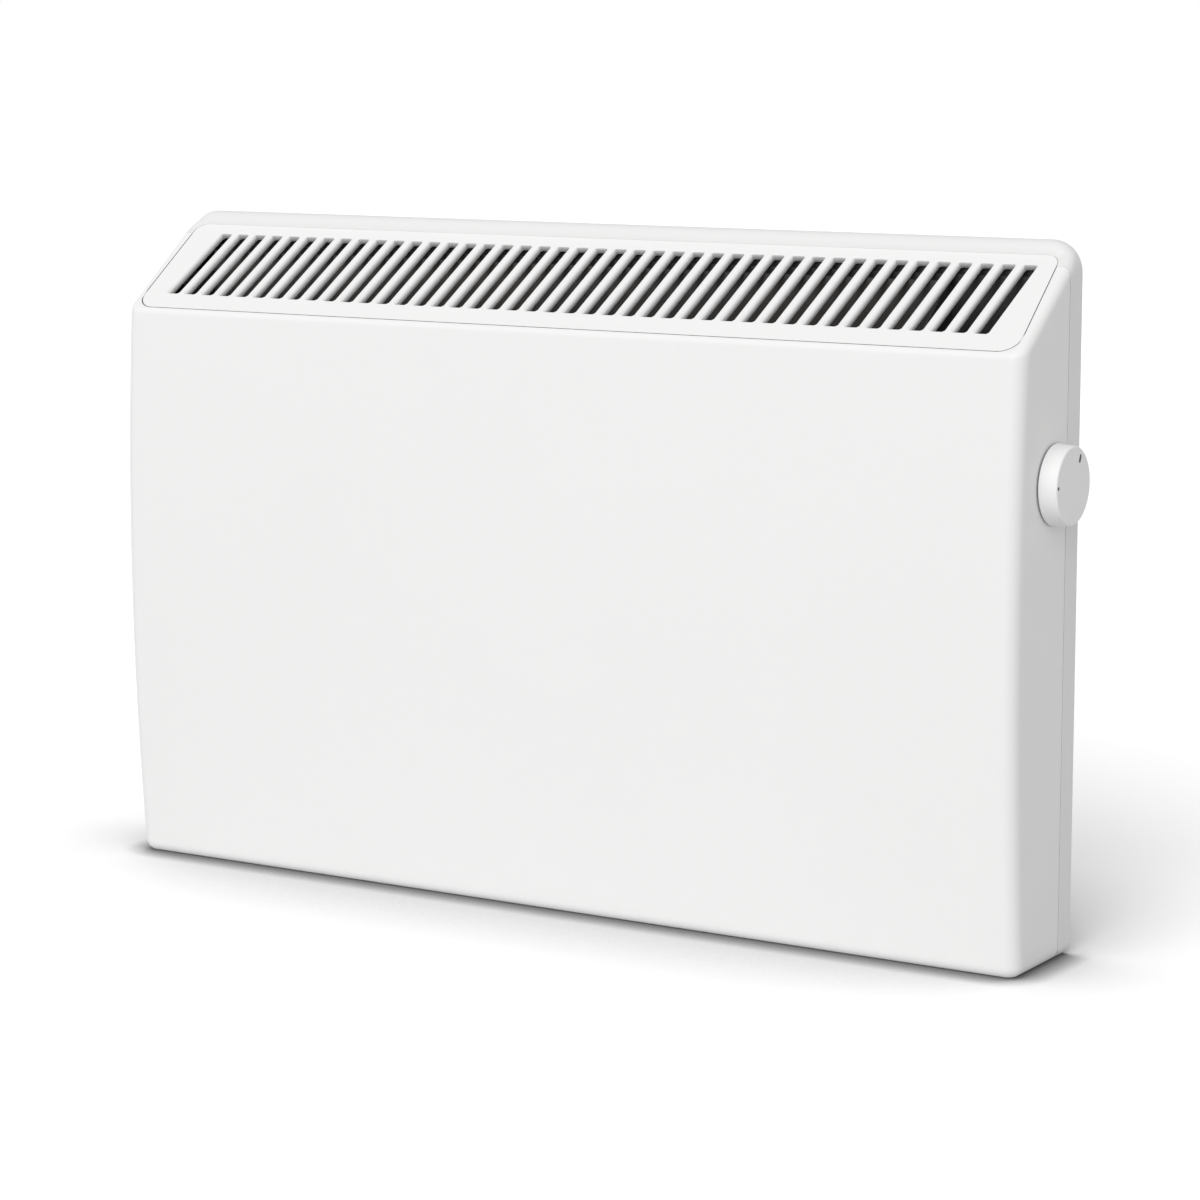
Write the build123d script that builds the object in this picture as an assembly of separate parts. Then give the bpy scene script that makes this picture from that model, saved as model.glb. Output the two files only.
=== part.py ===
from build123d import *
import os
from math import cos, hypot, radians, sin

# Wall panel convector heater, in millimetres.
# X runs along the wall, Y into the wall and Z up. The pieces are drawn with Z = 0 at the
# underside and Y = 0 at the wall, and are written with Z = 0 at the middle of the wall screws.

# Casing, outside
WIDTH = 700.0
HEIGHT = 460.0
FOOT_DEPTH = 80.0
BOW_DEPTH = 91.0
SHOULDER_DEPTH = 84.5
SHOULDER_HEIGHT = 394.0
RIM_DEPTH = 10.0
RIM_FOOT_HEIGHT = 451.0
CORNER_RADIUS = 13.0
BOTTOM_RADIUS = 8.0
TOP_CORNER_RADIUS = 20.0
SLOPE_RADIUS = 6.0
INNER_SLOPE_RADIUS = 3.0
RIM_RADIUS = 8.0
SEAM_DEPTH = 18.0
SEAM_GAP = 0.6
TURNED_EDGE = 10.0
SHEET = 1.0
THIN_SHEET = 0.8
SHIELD_SHEET = 0.6
BEYOND_WALL = 40.0
REACH = 160.0

# Slope that carries the outlet grille
SLOPE_RUN = SHOULDER_DEPTH - RIM_DEPTH
SLOPE_RISE = RIM_FOOT_HEIGHT - SHOULDER_HEIGHT
SLOPE_LENGTH = hypot(SLOPE_RUN, SLOPE_RISE)
SLOPE_COS = SLOPE_RUN / SLOPE_LENGTH
SLOPE_SIN = SLOPE_RISE / SLOPE_LENGTH
SLOPE = Plane((0, -SHOULDER_DEPTH, SHOULDER_HEIGHT), x_dir=(1, 0, 0), z_dir=(0, -SLOPE_SIN, SLOPE_COS))

# Outlet grille
GRILLE_THICKNESS = 2.5
GRILLE_BOTTOM = 3.4
GRILLE_TOP = SLOPE_LENGTH - 0.7
GRILLE_BOTTOM_HALF = 343.2
GRILLE_TOP_HALF = 339.8
GRILLE_BOTTOM_CORNER = 13.0
GRILLE_TOP_CORNER = 9.0
GRILLE_GAP = 0.4
LEDGE_WIDTH = 8.0
SLOT_COUNT = 43
SLOT_PITCH = 15.06
SLOT_WIDTH = 9.0
SLOT_BOTTOM = 16.9
SLOT_TOP = 84.4
SLOT_FIELD_SHIFT = 2.2
SLOT_LEAN = 0.144
BAR_DEPTH = 4.2
SHELF_BACK = 12.0
SHELF_HEIGHT = 436.0
LUG_PLACES = (-300.0, -100.0, 100.0, 300.0)
LUG_WIDTH = 10.0
LUG_THICKNESS = 2.0
LUG_REACH = 3.2
LUG_BARB = 1.5

# Inlet grille in the underside
INLET_HALF = 318.0
INLET_FRONT = 66.0
INLET_BACK = 26.0
INLET_THICKNESS = 2.4
INLET_LIP = 4.0
INLET_SLOT_COUNT = 41
INLET_SLOT_PITCH = 15.0
INLET_SLOT_WIDTH = 9.0
INLET_SLOT_LENGTH = 32.0

# Thermostat and its knob
KNOB_DEPTH = 37.0
KNOB_HEIGHT = 310.0
KNOB_FACE_RADIUS = 25.0
KNOB_BASE_RADIUS = 26.0
KNOB_LENGTH = 13.0
KNOB_WALL_GAP = 0.5
KNOB_WALL = 2.2
KNOB_EDGE = 2.5
KNOB_HUB_RADIUS = 6.5
SPINDLE_RADIUS = 3.0
SPINDLE_FLAT = 2.2
SPINDLE_HOLE_RADIUS = 4.5
FIT = 0.05
THERMOSTAT_X = 300.0
THERMOSTAT_LENGTH = 30.0
THERMOSTAT_SIDE = 34.0
THERMOSTAT_SCREW_STEP = 13.0
BRACKET_PLATE = 1.2
FOOT_SCREW_INSET = 14.0
FOOT_SCREW_STEP = 24.0

# Heating element and the sheets round it
ELEMENT_DEPTH = 48.0
ELEMENT_HEIGHT = 92.0
ROD_RADIUS = 4.0
ROD_LEFT = -326.0
ROD_RIGHT = 276.0
FIN_LEFT = -300.0
FIN_RIGHT = 248.0
PLATE_LEFT = -318.0
PLATE_RIGHT = 267.2
PLATE_FRONT = 73.8
PLATE_FLANGE = 10.0
FLANGE_SCREW = 6.0
PLATE_SCREW_HEIGHTS = (50.0, 380.0)
SHIELD_SCREW_HEIGHTS = (60.0, 340.0)
REAR_SHIELD_DEPTH = 24.0
REAR_SHIELD_TOP = 433.0
REAR_SHIELD_SCREW_HEIGHTS = (235.0,)
REAR_SHIELD_SCREW_INSET = 24.0
HEM_HEIGHT = 372.0
CUTOUT_HEIGHT = 250.0

# Wiring space
GLAND_X = 300.0
GLAND_HEIGHT = 44.0
GLAND_BORE_RADIUS = 3.7
GLAND_HOLE_RADIUS = 6.0
CLAMP_HEIGHT = 72.0
CLAMP_SCREW_STEP = 10.0
LOW_LEAD_HEIGHT = 20.0
BLOCK_HEIGHT = 104.0
STUD_X = 322.0
STUD_HEIGHT = 140.0
BULB_X = 286.0
BULB_BOTTOM = 150.0
BULB_LENGTH = 80.0
BULB_RADIUS = 2.8
BULB_DEPTH = 24.0
CAPILLARY_RADIUS = 0.9
LEAD_RADIUS = 1.3

# Wall bracket
BRACKET_SHEET = 1.5
BRACKET_HALF_WIDTH = 190.0
BRACKET_HALF_HEIGHT = 90.0
BRACKET_TURN = 8.0
BRACKET_CENTRE = 240.0
SCREW_HALF_SPACING_X = 160.0
SCREW_HALF_SPACING_Z = 74.0
WALL_SLOT_RADIUS = 3.0
WALL_SLOT_LENGTH = 12.0
HOOK_X = 110.0
HOOK_WIDTH = 22.0
HOOK_HEIGHTS = (168.0, 318.0)
HOOK_TIP = 10.0
HOOK_SLOT_HEIGHT = 16.0
HOOK_SLOT_WIDTH = 28.0

# Screws
M4_RADIUS = 1.9
M4_HOLE = 2.1
M4_HEAD_RADIUS = 3.8
M4_HEAD = 2.2
M4_FLATS = 7.0
COVER_SCREW_X = 344.0
COVER_SCREW_PLACES = (
    (-COVER_SCREW_X, 110.0),
    (-COVER_SCREW_X, 330.0),
    (COVER_SCREW_X, 110.0),
    (COVER_SCREW_X, 250.0),
    (-200.0, 6.0),
    (200.0, 6.0),
)


def at(x, depth, z, towards):
    """A plane at a point with its Z axis along the given direction."""
    return Plane(origin=(x, -depth, z), z_dir=towards)


def block(low, high):
    """A box between two corners."""
    size = [b - a for a, b in zip(low, high)]
    middle = [(a + b) / 2 for a, b in zip(low, high)]
    return Pos(*middle) * Box(*size)


def prism(radius, height, sides=8):
    """An upright prism on the XY plane, its flat sides at the given radius."""
    return extrude(RegularPolygon(radius, sides, major_radius=False), amount=height)


def pan_screw(length, radius=M4_RADIUS, head_radius=M4_HEAD_RADIUS, head=M4_HEAD):
    """A pan-head screw, its head above the XY plane and its shank below."""
    return prism(head_radius, head, sides=16) + Pos(0, 0, -length) * prism(radius, length)


def hex_screw(length, radius=M4_RADIUS, across_flats=M4_FLATS, head=M4_HEAD):
    """A hexagon-head screw for the inside, its head above the XY plane and its shank below."""
    return prism(across_flats / 2, head, sides=6) + Pos(0, 0, -length) * prism(radius, length)


def hole(plane, radius, depth):
    """A round cutter of twice the depth, centred on the plane."""
    return plane * Cylinder(radius, depth * 2)


def screw_hole(plane, radius, depth):
    """A cutter of twice the depth for a screw's shank, centred on the plane."""
    return plane * Pos(0, 0, -depth) * prism(radius, depth * 2)


def side_profile(inset, slope_drop):
    """Section of the casing in the YZ plane: bowed front, slope and open run past the wall."""
    foot = (-SHOULDER_DEPTH, SHOULDER_HEIGHT)
    end = (BEYOND_WALL, RIM_FOOT_HEIGHT + (BEYOND_WALL + RIM_DEPTH) * SLOPE_RISE / SLOPE_RUN)
    bow = ThreePointArc((-FOOT_DEPTH, 0), (-BOW_DEPTH, SHOULDER_HEIGHT / 2), foot)
    outline = make_face(bow + Polyline(foot, end, (BEYOND_WALL, 0), (-FOOT_DEPTH, 0)))
    if inset == 0:
        return outline
    outline = offset(outline, amount=-inset, kind=Kind.INTERSECTION)
    drop = slope_drop / SLOPE_COS
    fall = REACH * SLOPE_RISE / SLOPE_RUN
    below = Polyline(
        (foot[0] - REACH, foot[1] - fall - drop),
        (end[0] + REACH, end[1] + fall - drop),
        (end[0] + REACH, -REACH),
        (foot[0] - REACH, -REACH),
        close=True,
    )
    return outline & make_face(below)


def front_outline(inset):
    """Outline of the casing seen from the front."""
    outline = Pos(0, HEIGHT / 2) * Rectangle(WIDTH - 2 * inset, HEIGHT - 2 * inset)
    outline = fillet(outline.vertices().group_by(Axis.Y)[-1], TOP_CORNER_RADIUS - inset)
    outline = fillet(outline.vertices().group_by(Axis.Y)[0], BOTTOM_RADIUS - inset)
    return Plane.XZ * outline


def main_body(inset, slope_drop, slope_radius):
    """The casing as a solid without its rim, running on past the wall."""
    body = extrude(Plane.YZ * side_profile(inset, slope_drop), amount=WIDTH / 2 - inset, both=True)
    upright = [e for e in body.edges() if abs(e.center().X) > WIDTH / 4 and e.center().Y < -FOOT_DEPTH]
    body = fillet([e for e in upright if e.length > HEIGHT / 2], CORNER_RADIUS - inset)
    ground = [e for e in body.edges() if e.bounding_box().max.Z < inset + FIT]
    ground = [e for e in ground if e.center().Y < BEYOND_WALL - inset - FIT]
    body = fillet(ground, BOTTOM_RADIUS - inset)
    tall = Pos(0, HEIGHT / 2 - inset / 2) * Rectangle(WIDTH - 2 * inset, HEIGHT - inset)
    tall = fillet(tall.vertices().group_by(Axis.Y)[-1], TOP_CORNER_RADIUS - inset)
    body = body & extrude(Plane.XZ * tall, amount=REACH, both=True)
    slope = [f for f in body.faces() if f.normal_at(f.center()).dot(SLOPE.z_dir) > 0.99]
    border = [e for e in slope[0].edges() if e.length < WIDTH / 2 or e.center().Y < -FOOT_DEPTH / 2]
    return fillet(border, slope_radius)


def rim(inset):
    """The bead round the top of the casing, behind the slope."""
    bead = extrude(front_outline(inset), amount=RIM_DEPTH - inset)
    if inset > 0:
        bead += extrude(front_outline(inset), amount=-BEYOND_WALL)
    return fillet(bead.faces().sort_by(Axis.Y)[0].edges(), RIM_RADIUS - inset)


def casing():
    """The whole outside of the heater as one solid."""
    body = main_body(0, 0, SLOPE_RADIUS)
    in_front_of_wall = block((-WIDTH, -REACH, -REACH), (WIDTH, 0, HEIGHT + REACH))
    return (body & in_front_of_wall) + rim(0)


def cavity():
    """The space inside the sheet, one sheet plus the grille's depth below the slope."""
    return main_body(SHEET, SHEET + GRILLE_THICKNESS, INNER_SLOPE_RADIUS)


def grille_outline(grow):
    """Outline of the grille in the slope's plane: a rounded trapezium, grown evenly."""
    outline = Polyline(
        (-GRILLE_BOTTOM_HALF, GRILLE_BOTTOM),
        (GRILLE_BOTTOM_HALF, GRILLE_BOTTOM),
        (GRILLE_TOP_HALF, GRILLE_TOP),
        (-GRILLE_TOP_HALF, GRILLE_TOP),
        close=True,
    )
    face = make_face(outline)
    face = fillet(face.vertices().group_by(Axis.Y)[0], GRILLE_BOTTOM_CORNER)
    face = fillet(face.vertices().sort_by(Axis.Y)[-2:], GRILLE_TOP_CORNER)
    return offset(face, amount=grow) if grow else face


def grille_pocket():
    """Cutter that lets the grille into the slope and leaves a ledge under it."""
    pocket = extrude(SLOPE * grille_outline(GRILLE_GAP), amount=-GRILLE_THICKNESS)
    pocket += extrude(SLOPE * grille_outline(GRILLE_GAP), amount=RIM_RADIUS)
    window = extrude(SLOPE * grille_outline(-LEDGE_WIDTH), amount=-BAR_DEPTH)
    return pocket + window


def return_flange(outside):
    """The cover's edge turned inwards along the sides and the bottom."""
    inset = SHEET / 2
    side = WIDTH / 2 - SHEET - TURNED_EDGE
    band = block((-WIDTH, -SEAM_DEPTH - SHEET, -REACH), (WIDTH, -SEAM_DEPTH, HEIGHT))
    band = band & extrude(front_outline(inset), amount=REACH)
    window = block((-side, -REACH, SHEET + TURNED_EDGE), (side, 0, HEIGHT * 2))
    top_cut = SLOPE * Pos(0, 0, RIM_RADIUS - GRILLE_THICKNESS) * Box(WIDTH * 2, REACH * 4, RIM_RADIUS * 2)
    return (outside & band) - window - top_cut


def front_cover(outside, inside):
    """Pressed cover with the bowed front, the ledge for the grille and the inlet opening."""
    in_front = block((-WIDTH, -REACH, -REACH), (WIDTH, -SEAM_DEPTH - SEAM_GAP, HEIGHT * 2))
    cover = ((outside - inside) & in_front) + return_flange(outside)
    cover -= grille_pocket()
    cover -= block((-INLET_HALF, -INLET_FRONT, -1), (INLET_HALF, -INLET_BACK, INLET_THICKNESS))
    spindle_hole = at(WIDTH / 2, KNOB_DEPTH, KNOB_HEIGHT, (1, 0, 0))
    cover -= hole(spindle_hole, SPINDLE_HOLE_RADIUS, SHEET * 2)
    for x, z in COVER_SCREW_PLACES:
        cover -= screw_hole(at(x, SEAM_DEPTH, z, (0, 1, 0)), M4_RADIUS + FIT, SHEET * 2)
    return cover


def hook_slots():
    """Cutters for the four openings that the wall bracket's hooks pass through."""
    slot = Box(HOOK_SLOT_WIDTH, SHEET * 3, HOOK_SLOT_HEIGHT)
    slot = fillet(slot.edges().filter_by(Axis.Y), 1.5)
    places = [(x, z) for x in (-HOOK_X, HOOK_X) for z in HOOK_HEIGHTS]
    return [Pos(x, -SEAM_DEPTH, z - HOOK_SLOT_HEIGHT / 2) * slot for x, z in places]


def shelf(outside):
    """Step of the back panel that runs back under the grille's top edge and up to the rim."""
    low = SHELF_HEIGHT
    tread = block((-WIDTH, -SEAM_DEPTH, low), (WIDTH, -SHELF_BACK, low + SHEET))
    riser = block((-WIDTH, -SHELF_BACK - SHEET, low), (WIDTH, -SHELF_BACK, low + LEDGE_WIDTH + 2))
    return outside & (tread + riser)


def back_panel(outside, inside):
    """Shallow tray behind the seam: rim, plate, hook openings and the cord's way out."""
    behind = block((-WIDTH, -SEAM_DEPTH, -REACH), (WIDTH, 0, HEIGHT * 2))
    hollow = block((-WIDTH, -SEAM_DEPTH + SHEET, -REACH), (WIDTH, BEYOND_WALL, HEIGHT * 2))
    hollow += block((-WIDTH, -SEAM_DEPTH, SHELF_HEIGHT + SHEET), (WIDTH, BEYOND_WALL, HEIGHT))
    panel = (outside & behind) - (inside & hollow) - rim(SHEET) + shelf(outside) - grille_pocket()
    for x, z in COVER_SCREW_PLACES:
        panel -= screw_hole(at(x, SEAM_DEPTH, z, (0, 1, 0)), M4_HOLE, SHEET * 2)
    for slot in hook_slots():
        panel -= slot
    panel -= hole(at(GLAND_X, SEAM_DEPTH, GLAND_HEIGHT, (0, 1, 0)), GLAND_HOLE_RADIUS, SHEET * 2)
    notch = 9.0
    panel -= block((GLAND_X - notch / 2, -notch, -1), (GLAND_X + notch / 2, 1, BOTTOM_RADIUS))
    panel -= screw_hole(at(STUD_X, SEAM_DEPTH, STUD_HEIGHT, (0, 1, 0)), M4_HOLE, SHEET * 2)
    for x, z in panel_screw_places():
        panel -= screw_hole(at(x, SEAM_DEPTH, z, (0, 1, 0)), M4_RADIUS + FIT, SHEET * 2)
    return panel


def slot_shapes():
    """The 43 leaning slots as flat shapes in the slope's plane."""
    rise = SLOT_TOP - SLOT_BOTTOM
    lean = SLOT_LEAN * rise
    shapes = []
    for index in range(SLOT_COUNT):
        middle = (index - (SLOT_COUNT - 1) / 2) * SLOT_PITCH + SLOT_FIELD_SHIFT
        left = middle - SLOT_WIDTH / 2 - lean / 2
        right = left + SLOT_WIDTH
        corners = ((left, SLOT_BOTTOM), (right, SLOT_BOTTOM), (right + lean, SLOT_TOP), (left + lean, SLOT_TOP))
        shapes.append(make_face(Polyline(*corners, close=True)))
    return shapes


def snap_lug(edge, outward):
    """Section of a hooked lug in the YZ plane of the slope, drawn at its place up the slope."""
    root = edge - outward * (LUG_THICKNESS / 2 + GRILLE_GAP)
    low = GRILLE_THICKNESS + LUG_REACH
    leg = Pos(root, -(GRILLE_THICKNESS + low) / 2) * Rectangle(LUG_THICKNESS, low - GRILLE_THICKNESS)
    face = root + outward * LUG_THICKNESS / 2
    catch = GRILLE_THICKNESS + SHEET + GRILLE_GAP
    barb = Polyline((face, -catch), (face + outward * LUG_BARB, -catch), (face, -low), close=True)
    return leg + make_face(barb)


def snap_lugs():
    """Eight lugs that hook the grille under the ledge, four along each long edge."""
    edges = ((GRILLE_BOTTOM + LEDGE_WIDTH, -1), (GRILLE_TOP - LEDGE_WIDTH, 1))
    side = Plane(origin=SLOPE.origin, x_dir=SLOPE.y_dir, z_dir=(1, 0, 0))
    lugs = []
    for edge, outward in edges:
        lug = extrude(side * snap_lug(edge, outward), amount=LUG_WIDTH / 2, both=True)
        lugs += [Pos(x, 0, 0) * lug for x in LUG_PLACES]
    return lugs


def outlet_grille():
    """Moulded panel with slanting slots between deep bars, and lugs underneath."""
    panel = extrude(SLOPE * grille_outline(0), amount=-GRILLE_THICKNESS)
    middle = (SLOT_BOTTOM + SLOT_TOP) / 2
    field = Pos(0, middle) * Rectangle(SLOT_PITCH * (SLOT_COUNT - 1), SLOT_TOP - SLOT_BOTTOM)
    panel += extrude(SLOPE * field, amount=-BAR_DEPTH)
    slots = Sketch() + slot_shapes()
    panel -= extrude(SLOPE * slots, amount=REACH, both=True)
    return panel + snap_lugs()


def inlet_grille():
    """Slotted plate in the underside, with a lip that rests inside the cover."""
    lip = block(
        (-INLET_HALF - INLET_LIP, -INLET_FRONT - INLET_LIP, SHEET),
        (INLET_HALF + INLET_LIP, -INLET_BACK + INLET_LIP, INLET_THICKNESS),
    )
    clearance = 0.3
    field = block(
        (-INLET_HALF + clearance, -INLET_FRONT + clearance, 0),
        (INLET_HALF - clearance, -INLET_BACK - clearance, INLET_THICKNESS),
    )
    slot = Rectangle(INLET_SLOT_WIDTH, INLET_SLOT_LENGTH)
    row = GridLocations(INLET_SLOT_PITCH, 1, INLET_SLOT_COUNT, 1)
    slots = Pos(0, -(INLET_FRONT + INLET_BACK) / 2) * (Sketch() + [place * slot for place in row])
    return lip + field - extrude(slots, amount=REACH, both=True)


def thermostat_knob():
    """Round cup with a softly rounded face and a hub bored for the spindle's D."""
    profile = Polyline(
        (0, 0),
        (KNOB_BASE_RADIUS, 0),
        (KNOB_FACE_RADIUS, KNOB_LENGTH),
        (0, KNOB_LENGTH),
        close=True,
    )
    start = WIDTH / 2 + KNOB_WALL_GAP
    cup = revolve(Plane.XZ * make_face(profile), Axis.Z)
    cup = fillet(cup.edges().group_by(Axis.Z)[-1], KNOB_EDGE)
    bore = Cylinder(
        KNOB_FACE_RADIUS - KNOB_WALL,
        KNOB_LENGTH - KNOB_WALL,
        align=(Align.CENTER, Align.CENTER, Align.MIN),
    )
    hub = Cylinder(KNOB_HUB_RADIUS, KNOB_LENGTH - 1, align=(Align.CENTER, Align.CENTER, Align.MIN))
    knob = cup - bore + hub
    knob = at(start, KNOB_DEPTH, KNOB_HEIGHT, (1, 0, 0)) * knob
    depth = KNOB_LENGTH - KNOB_WALL - 1
    return knob - spindle_bar(start - 1, start + depth, SPINDLE_RADIUS + FIT, SPINDLE_FLAT + 0.6)


def spindle_bar(left, right, radius, flat):
    """A D-shaped bar along the knob's axis with its flat towards the wall."""
    section = Circle(radius) & Pos(0, radius - flat) * Rectangle(radius * 2, radius * 2)
    bar = extrude(section, amount=right - left)
    return Plane(origin=(left, -KNOB_DEPTH, KNOB_HEIGHT), x_dir=(0, 0, 1), z_dir=(1, 0, 0)) * bar


def thermostat_spindle():
    """Shaft with a round journal in the thermostat and a D-shaped end in the knob."""
    start = WIDTH / 2 + KNOB_WALL_GAP
    journal_start = THERMOSTAT_X + THERMOSTAT_LENGTH - 12
    shoulder = WIDTH / 2 - 6
    journal = at(journal_start, KNOB_DEPTH, KNOB_HEIGHT, (1, 0, 0)) * Cylinder(
        SPINDLE_RADIUS, shoulder - journal_start, align=(Align.CENTER, Align.CENTER, Align.MIN)
    )
    end = start + KNOB_LENGTH - KNOB_WALL - 1.4
    return journal + spindle_bar(shoulder, end, SPINDLE_RADIUS, SPINDLE_FLAT)


def knob_spring_clip():
    """Bowed leaf that grips the spindle's flat inside the knob's hub."""
    start = WIDTH / 2 + KNOB_WALL_GAP + 0.6
    length = 7.6
    leaf = make_face(
        ThreePointArc((0, 0.08), (length / 2, 0.32), (length, 0.08))
        + Polyline((length, 0.08), (length, 0.3))
        + ThreePointArc((length, 0.3), (length / 2, 0.54), (0, 0.3))
        + Polyline((0, 0.3), (0, 0.08))
    )
    strip = extrude(leaf, amount=1.2, both=True)
    return Pos(start, -KNOB_DEPTH + SPINDLE_FLAT, KNOB_HEIGHT) * strip


def thermostat_body():
    """Capillary thermostat: square case, round nose and two switch tabs."""
    half = THERMOSTAT_SIDE / 2
    right = THERMOSTAT_X + THERMOSTAT_LENGTH
    case = block(
        (THERMOSTAT_X, -KNOB_DEPTH - half, KNOB_HEIGHT - half),
        (right, -KNOB_DEPTH + half, KNOB_HEIGHT + half),
    )
    case = fillet(case.edges().filter_by(Axis.X), 3)
    axis = at(right, KNOB_DEPTH, KNOB_HEIGHT, (1, 0, 0))
    nose = axis * Cylinder(5, 4, align=(Align.CENTER, Align.CENTER, Align.MIN))
    body = case + nose - hole(axis, SPINDLE_RADIUS + FIT, 13)
    for step in (-THERMOSTAT_SCREW_STEP, THERMOSTAT_SCREW_STEP):
        body -= screw_hole(at(right, KNOB_DEPTH, KNOB_HEIGHT + step, (1, 0, 0)), M4_RADIUS + FIT, 7)
    for depth in (KNOB_DEPTH - 8, KNOB_DEPTH + 8):
        body += block(
            (THERMOSTAT_X - 8, -depth - 0.4, KNOB_HEIGHT - 11),
            (THERMOSTAT_X, -depth + 0.4, KNOB_HEIGHT - 5),
        )
    return body


def thermostat_bracket():
    """Bent angle from the back panel that holds the thermostat beside the cover's wall."""
    left = THERMOSTAT_X + THERMOSTAT_LENGTH
    low = KNOB_HEIGHT - 30
    high = KNOB_HEIGHT + 30
    plate = block((left, -KNOB_DEPTH - 19, low), (left + BRACKET_PLATE, -SEAM_DEPTH, high))
    foot = block((left - 22, -SEAM_DEPTH - BRACKET_PLATE, low), (left + BRACKET_PLATE, -SEAM_DEPTH, high))
    bracket = plate + foot
    bracket -= hole(at(left, KNOB_DEPTH, KNOB_HEIGHT, (1, 0, 0)), 5.2, 4)
    for step in (-THERMOSTAT_SCREW_STEP, THERMOSTAT_SCREW_STEP):
        bracket -= screw_hole(at(left, KNOB_DEPTH, KNOB_HEIGHT + step, (1, 0, 0)), M4_HOLE, 4)
    for x, z in thermostat_foot_places():
        bracket -= screw_hole(at(x, SEAM_DEPTH, z, (0, 1, 0)), M4_HOLE, 4)
    return bracket


def thermostat_screws():
    """Two screws that hold the thermostat to its bracket."""
    face = THERMOSTAT_X + THERMOSTAT_LENGTH + BRACKET_PLATE
    steps = (-THERMOSTAT_SCREW_STEP, THERMOSTAT_SCREW_STEP)
    return [at(face, KNOB_DEPTH, KNOB_HEIGHT + step, (1, 0, 0)) * hex_screw(7) for step in steps]


def capillary_tube():
    """Thin tube from the thermostat down to its sensor, bent round the wiring."""
    start = (THERMOSTAT_X + 8, -BULB_DEPTH - 4, KNOB_HEIGHT - THERMOSTAT_SIDE / 2)
    path = FilletPolyline(
        start,
        (start[0], start[1], start[2] - 22),
        (BULB_X, -BULB_DEPTH, start[2] - 44),
        (BULB_X, -BULB_DEPTH, BULB_BOTTOM + BULB_LENGTH),
        radius=14,
    )
    section = Plane(origin=start, z_dir=(0, 0, -1)) * Circle(CAPILLARY_RADIUS)
    return sweep(section, path=path)


def sensor_bulb():
    """Round-ended bulb at the bottom of the capillary."""
    rod = Cylinder(BULB_RADIUS, BULB_LENGTH, align=(Align.CENTER, Align.CENTER, Align.MIN))
    rod = chamfer(rod.edges().filter_by(GeomType.CIRCLE), 1.6)
    return Pos(BULB_X, -BULB_DEPTH, BULB_BOTTOM) * rod


def sensor_clips():
    """Two spring clips on the back panel that hold the bulb."""
    ring = Circle(BULB_RADIUS + 0.9) - Circle(BULB_RADIUS + FIT)
    ring -= Pos(0, -BULB_RADIUS - 1) * Rectangle(3.4, 4)
    foot = Pos(0, BULB_DEPTH - SEAM_DEPTH - 0.4) * Rectangle(10, 0.8)
    leg = Pos(0, (BULB_DEPTH - SEAM_DEPTH + BULB_RADIUS) / 2) * Rectangle(
        1.4, BULB_DEPTH - SEAM_DEPTH - BULB_RADIUS - 0.1
    )
    clip = extrude(ring + foot + leg, amount=8)
    heights = (BULB_BOTTOM + 12, BULB_BOTTOM + BULB_LENGTH - 20)
    return [Pos(BULB_X, -BULB_DEPTH, z) * clip for z in heights]


def element_axis(x):
    """A plane across the heating rod at the given place, facing right."""
    return Plane(origin=(x, -ELEMENT_DEPTH, ELEMENT_HEIGHT), x_dir=(0, 1, 0), z_dir=(1, 0, 0))


def element_tube():
    """Sheathed heating rod."""
    return element_axis(ROD_LEFT) * Cylinder(
        ROD_RADIUS, ROD_RIGHT - ROD_LEFT, align=(Align.CENTER, Align.CENTER, Align.MIN)
    )


def element_fins():
    """Extruded aluminium body: a hub on the rod with crossed arms and ribs on each arm."""
    arm_length = 36.0
    section = Circle(7.5)
    for angle in (58, 122, 238, 302):
        arm = Pos(arm_length / 2, 0) * Rectangle(arm_length, 1.8)
        for reach in (16, 23, 30, 36):
            arm += Pos(reach - 0.7, 0) * Rectangle(1.4, 9)
        section += Rot(0, 0, angle) * arm
    section -= Circle(ROD_RADIUS + FIT)
    return element_axis(FIN_LEFT) * extrude(section, amount=FIN_RIGHT - FIN_LEFT)


def insulator_pair():
    """Two flanged ceramic collars that hold the rod's ends in the side plates."""
    bush = Cylinder(6.8, 12, align=(Align.CENTER, Align.CENTER, Align.MIN))
    bush += Cylinder(10, 3, align=(Align.CENTER, Align.CENTER, Align.MIN))
    bush -= Cylinder(ROD_RADIUS + FIT, 40)
    left = element_axis(PLATE_LEFT + THIN_SHEET) * Pos(0, 0, 3) * Rot(180, 0, 0) * bush
    right = element_axis(PLATE_RIGHT) * Pos(0, 0, -3) * bush
    return [left, right]


def element_terminals():
    """Terminal pin and tab at each end of the rod."""
    pin = Cylinder(1.6, 7, align=(Align.CENTER, Align.CENTER, Align.MIN))
    tab = Pos(0, 0, 8.5) * Box(0.8, 6.3, 5)
    terminal = pin + tab
    left = element_axis(ROD_LEFT) * Rot(180, 0, 0) * terminal
    right = element_axis(ROD_RIGHT) * terminal
    return [left, right]


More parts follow.
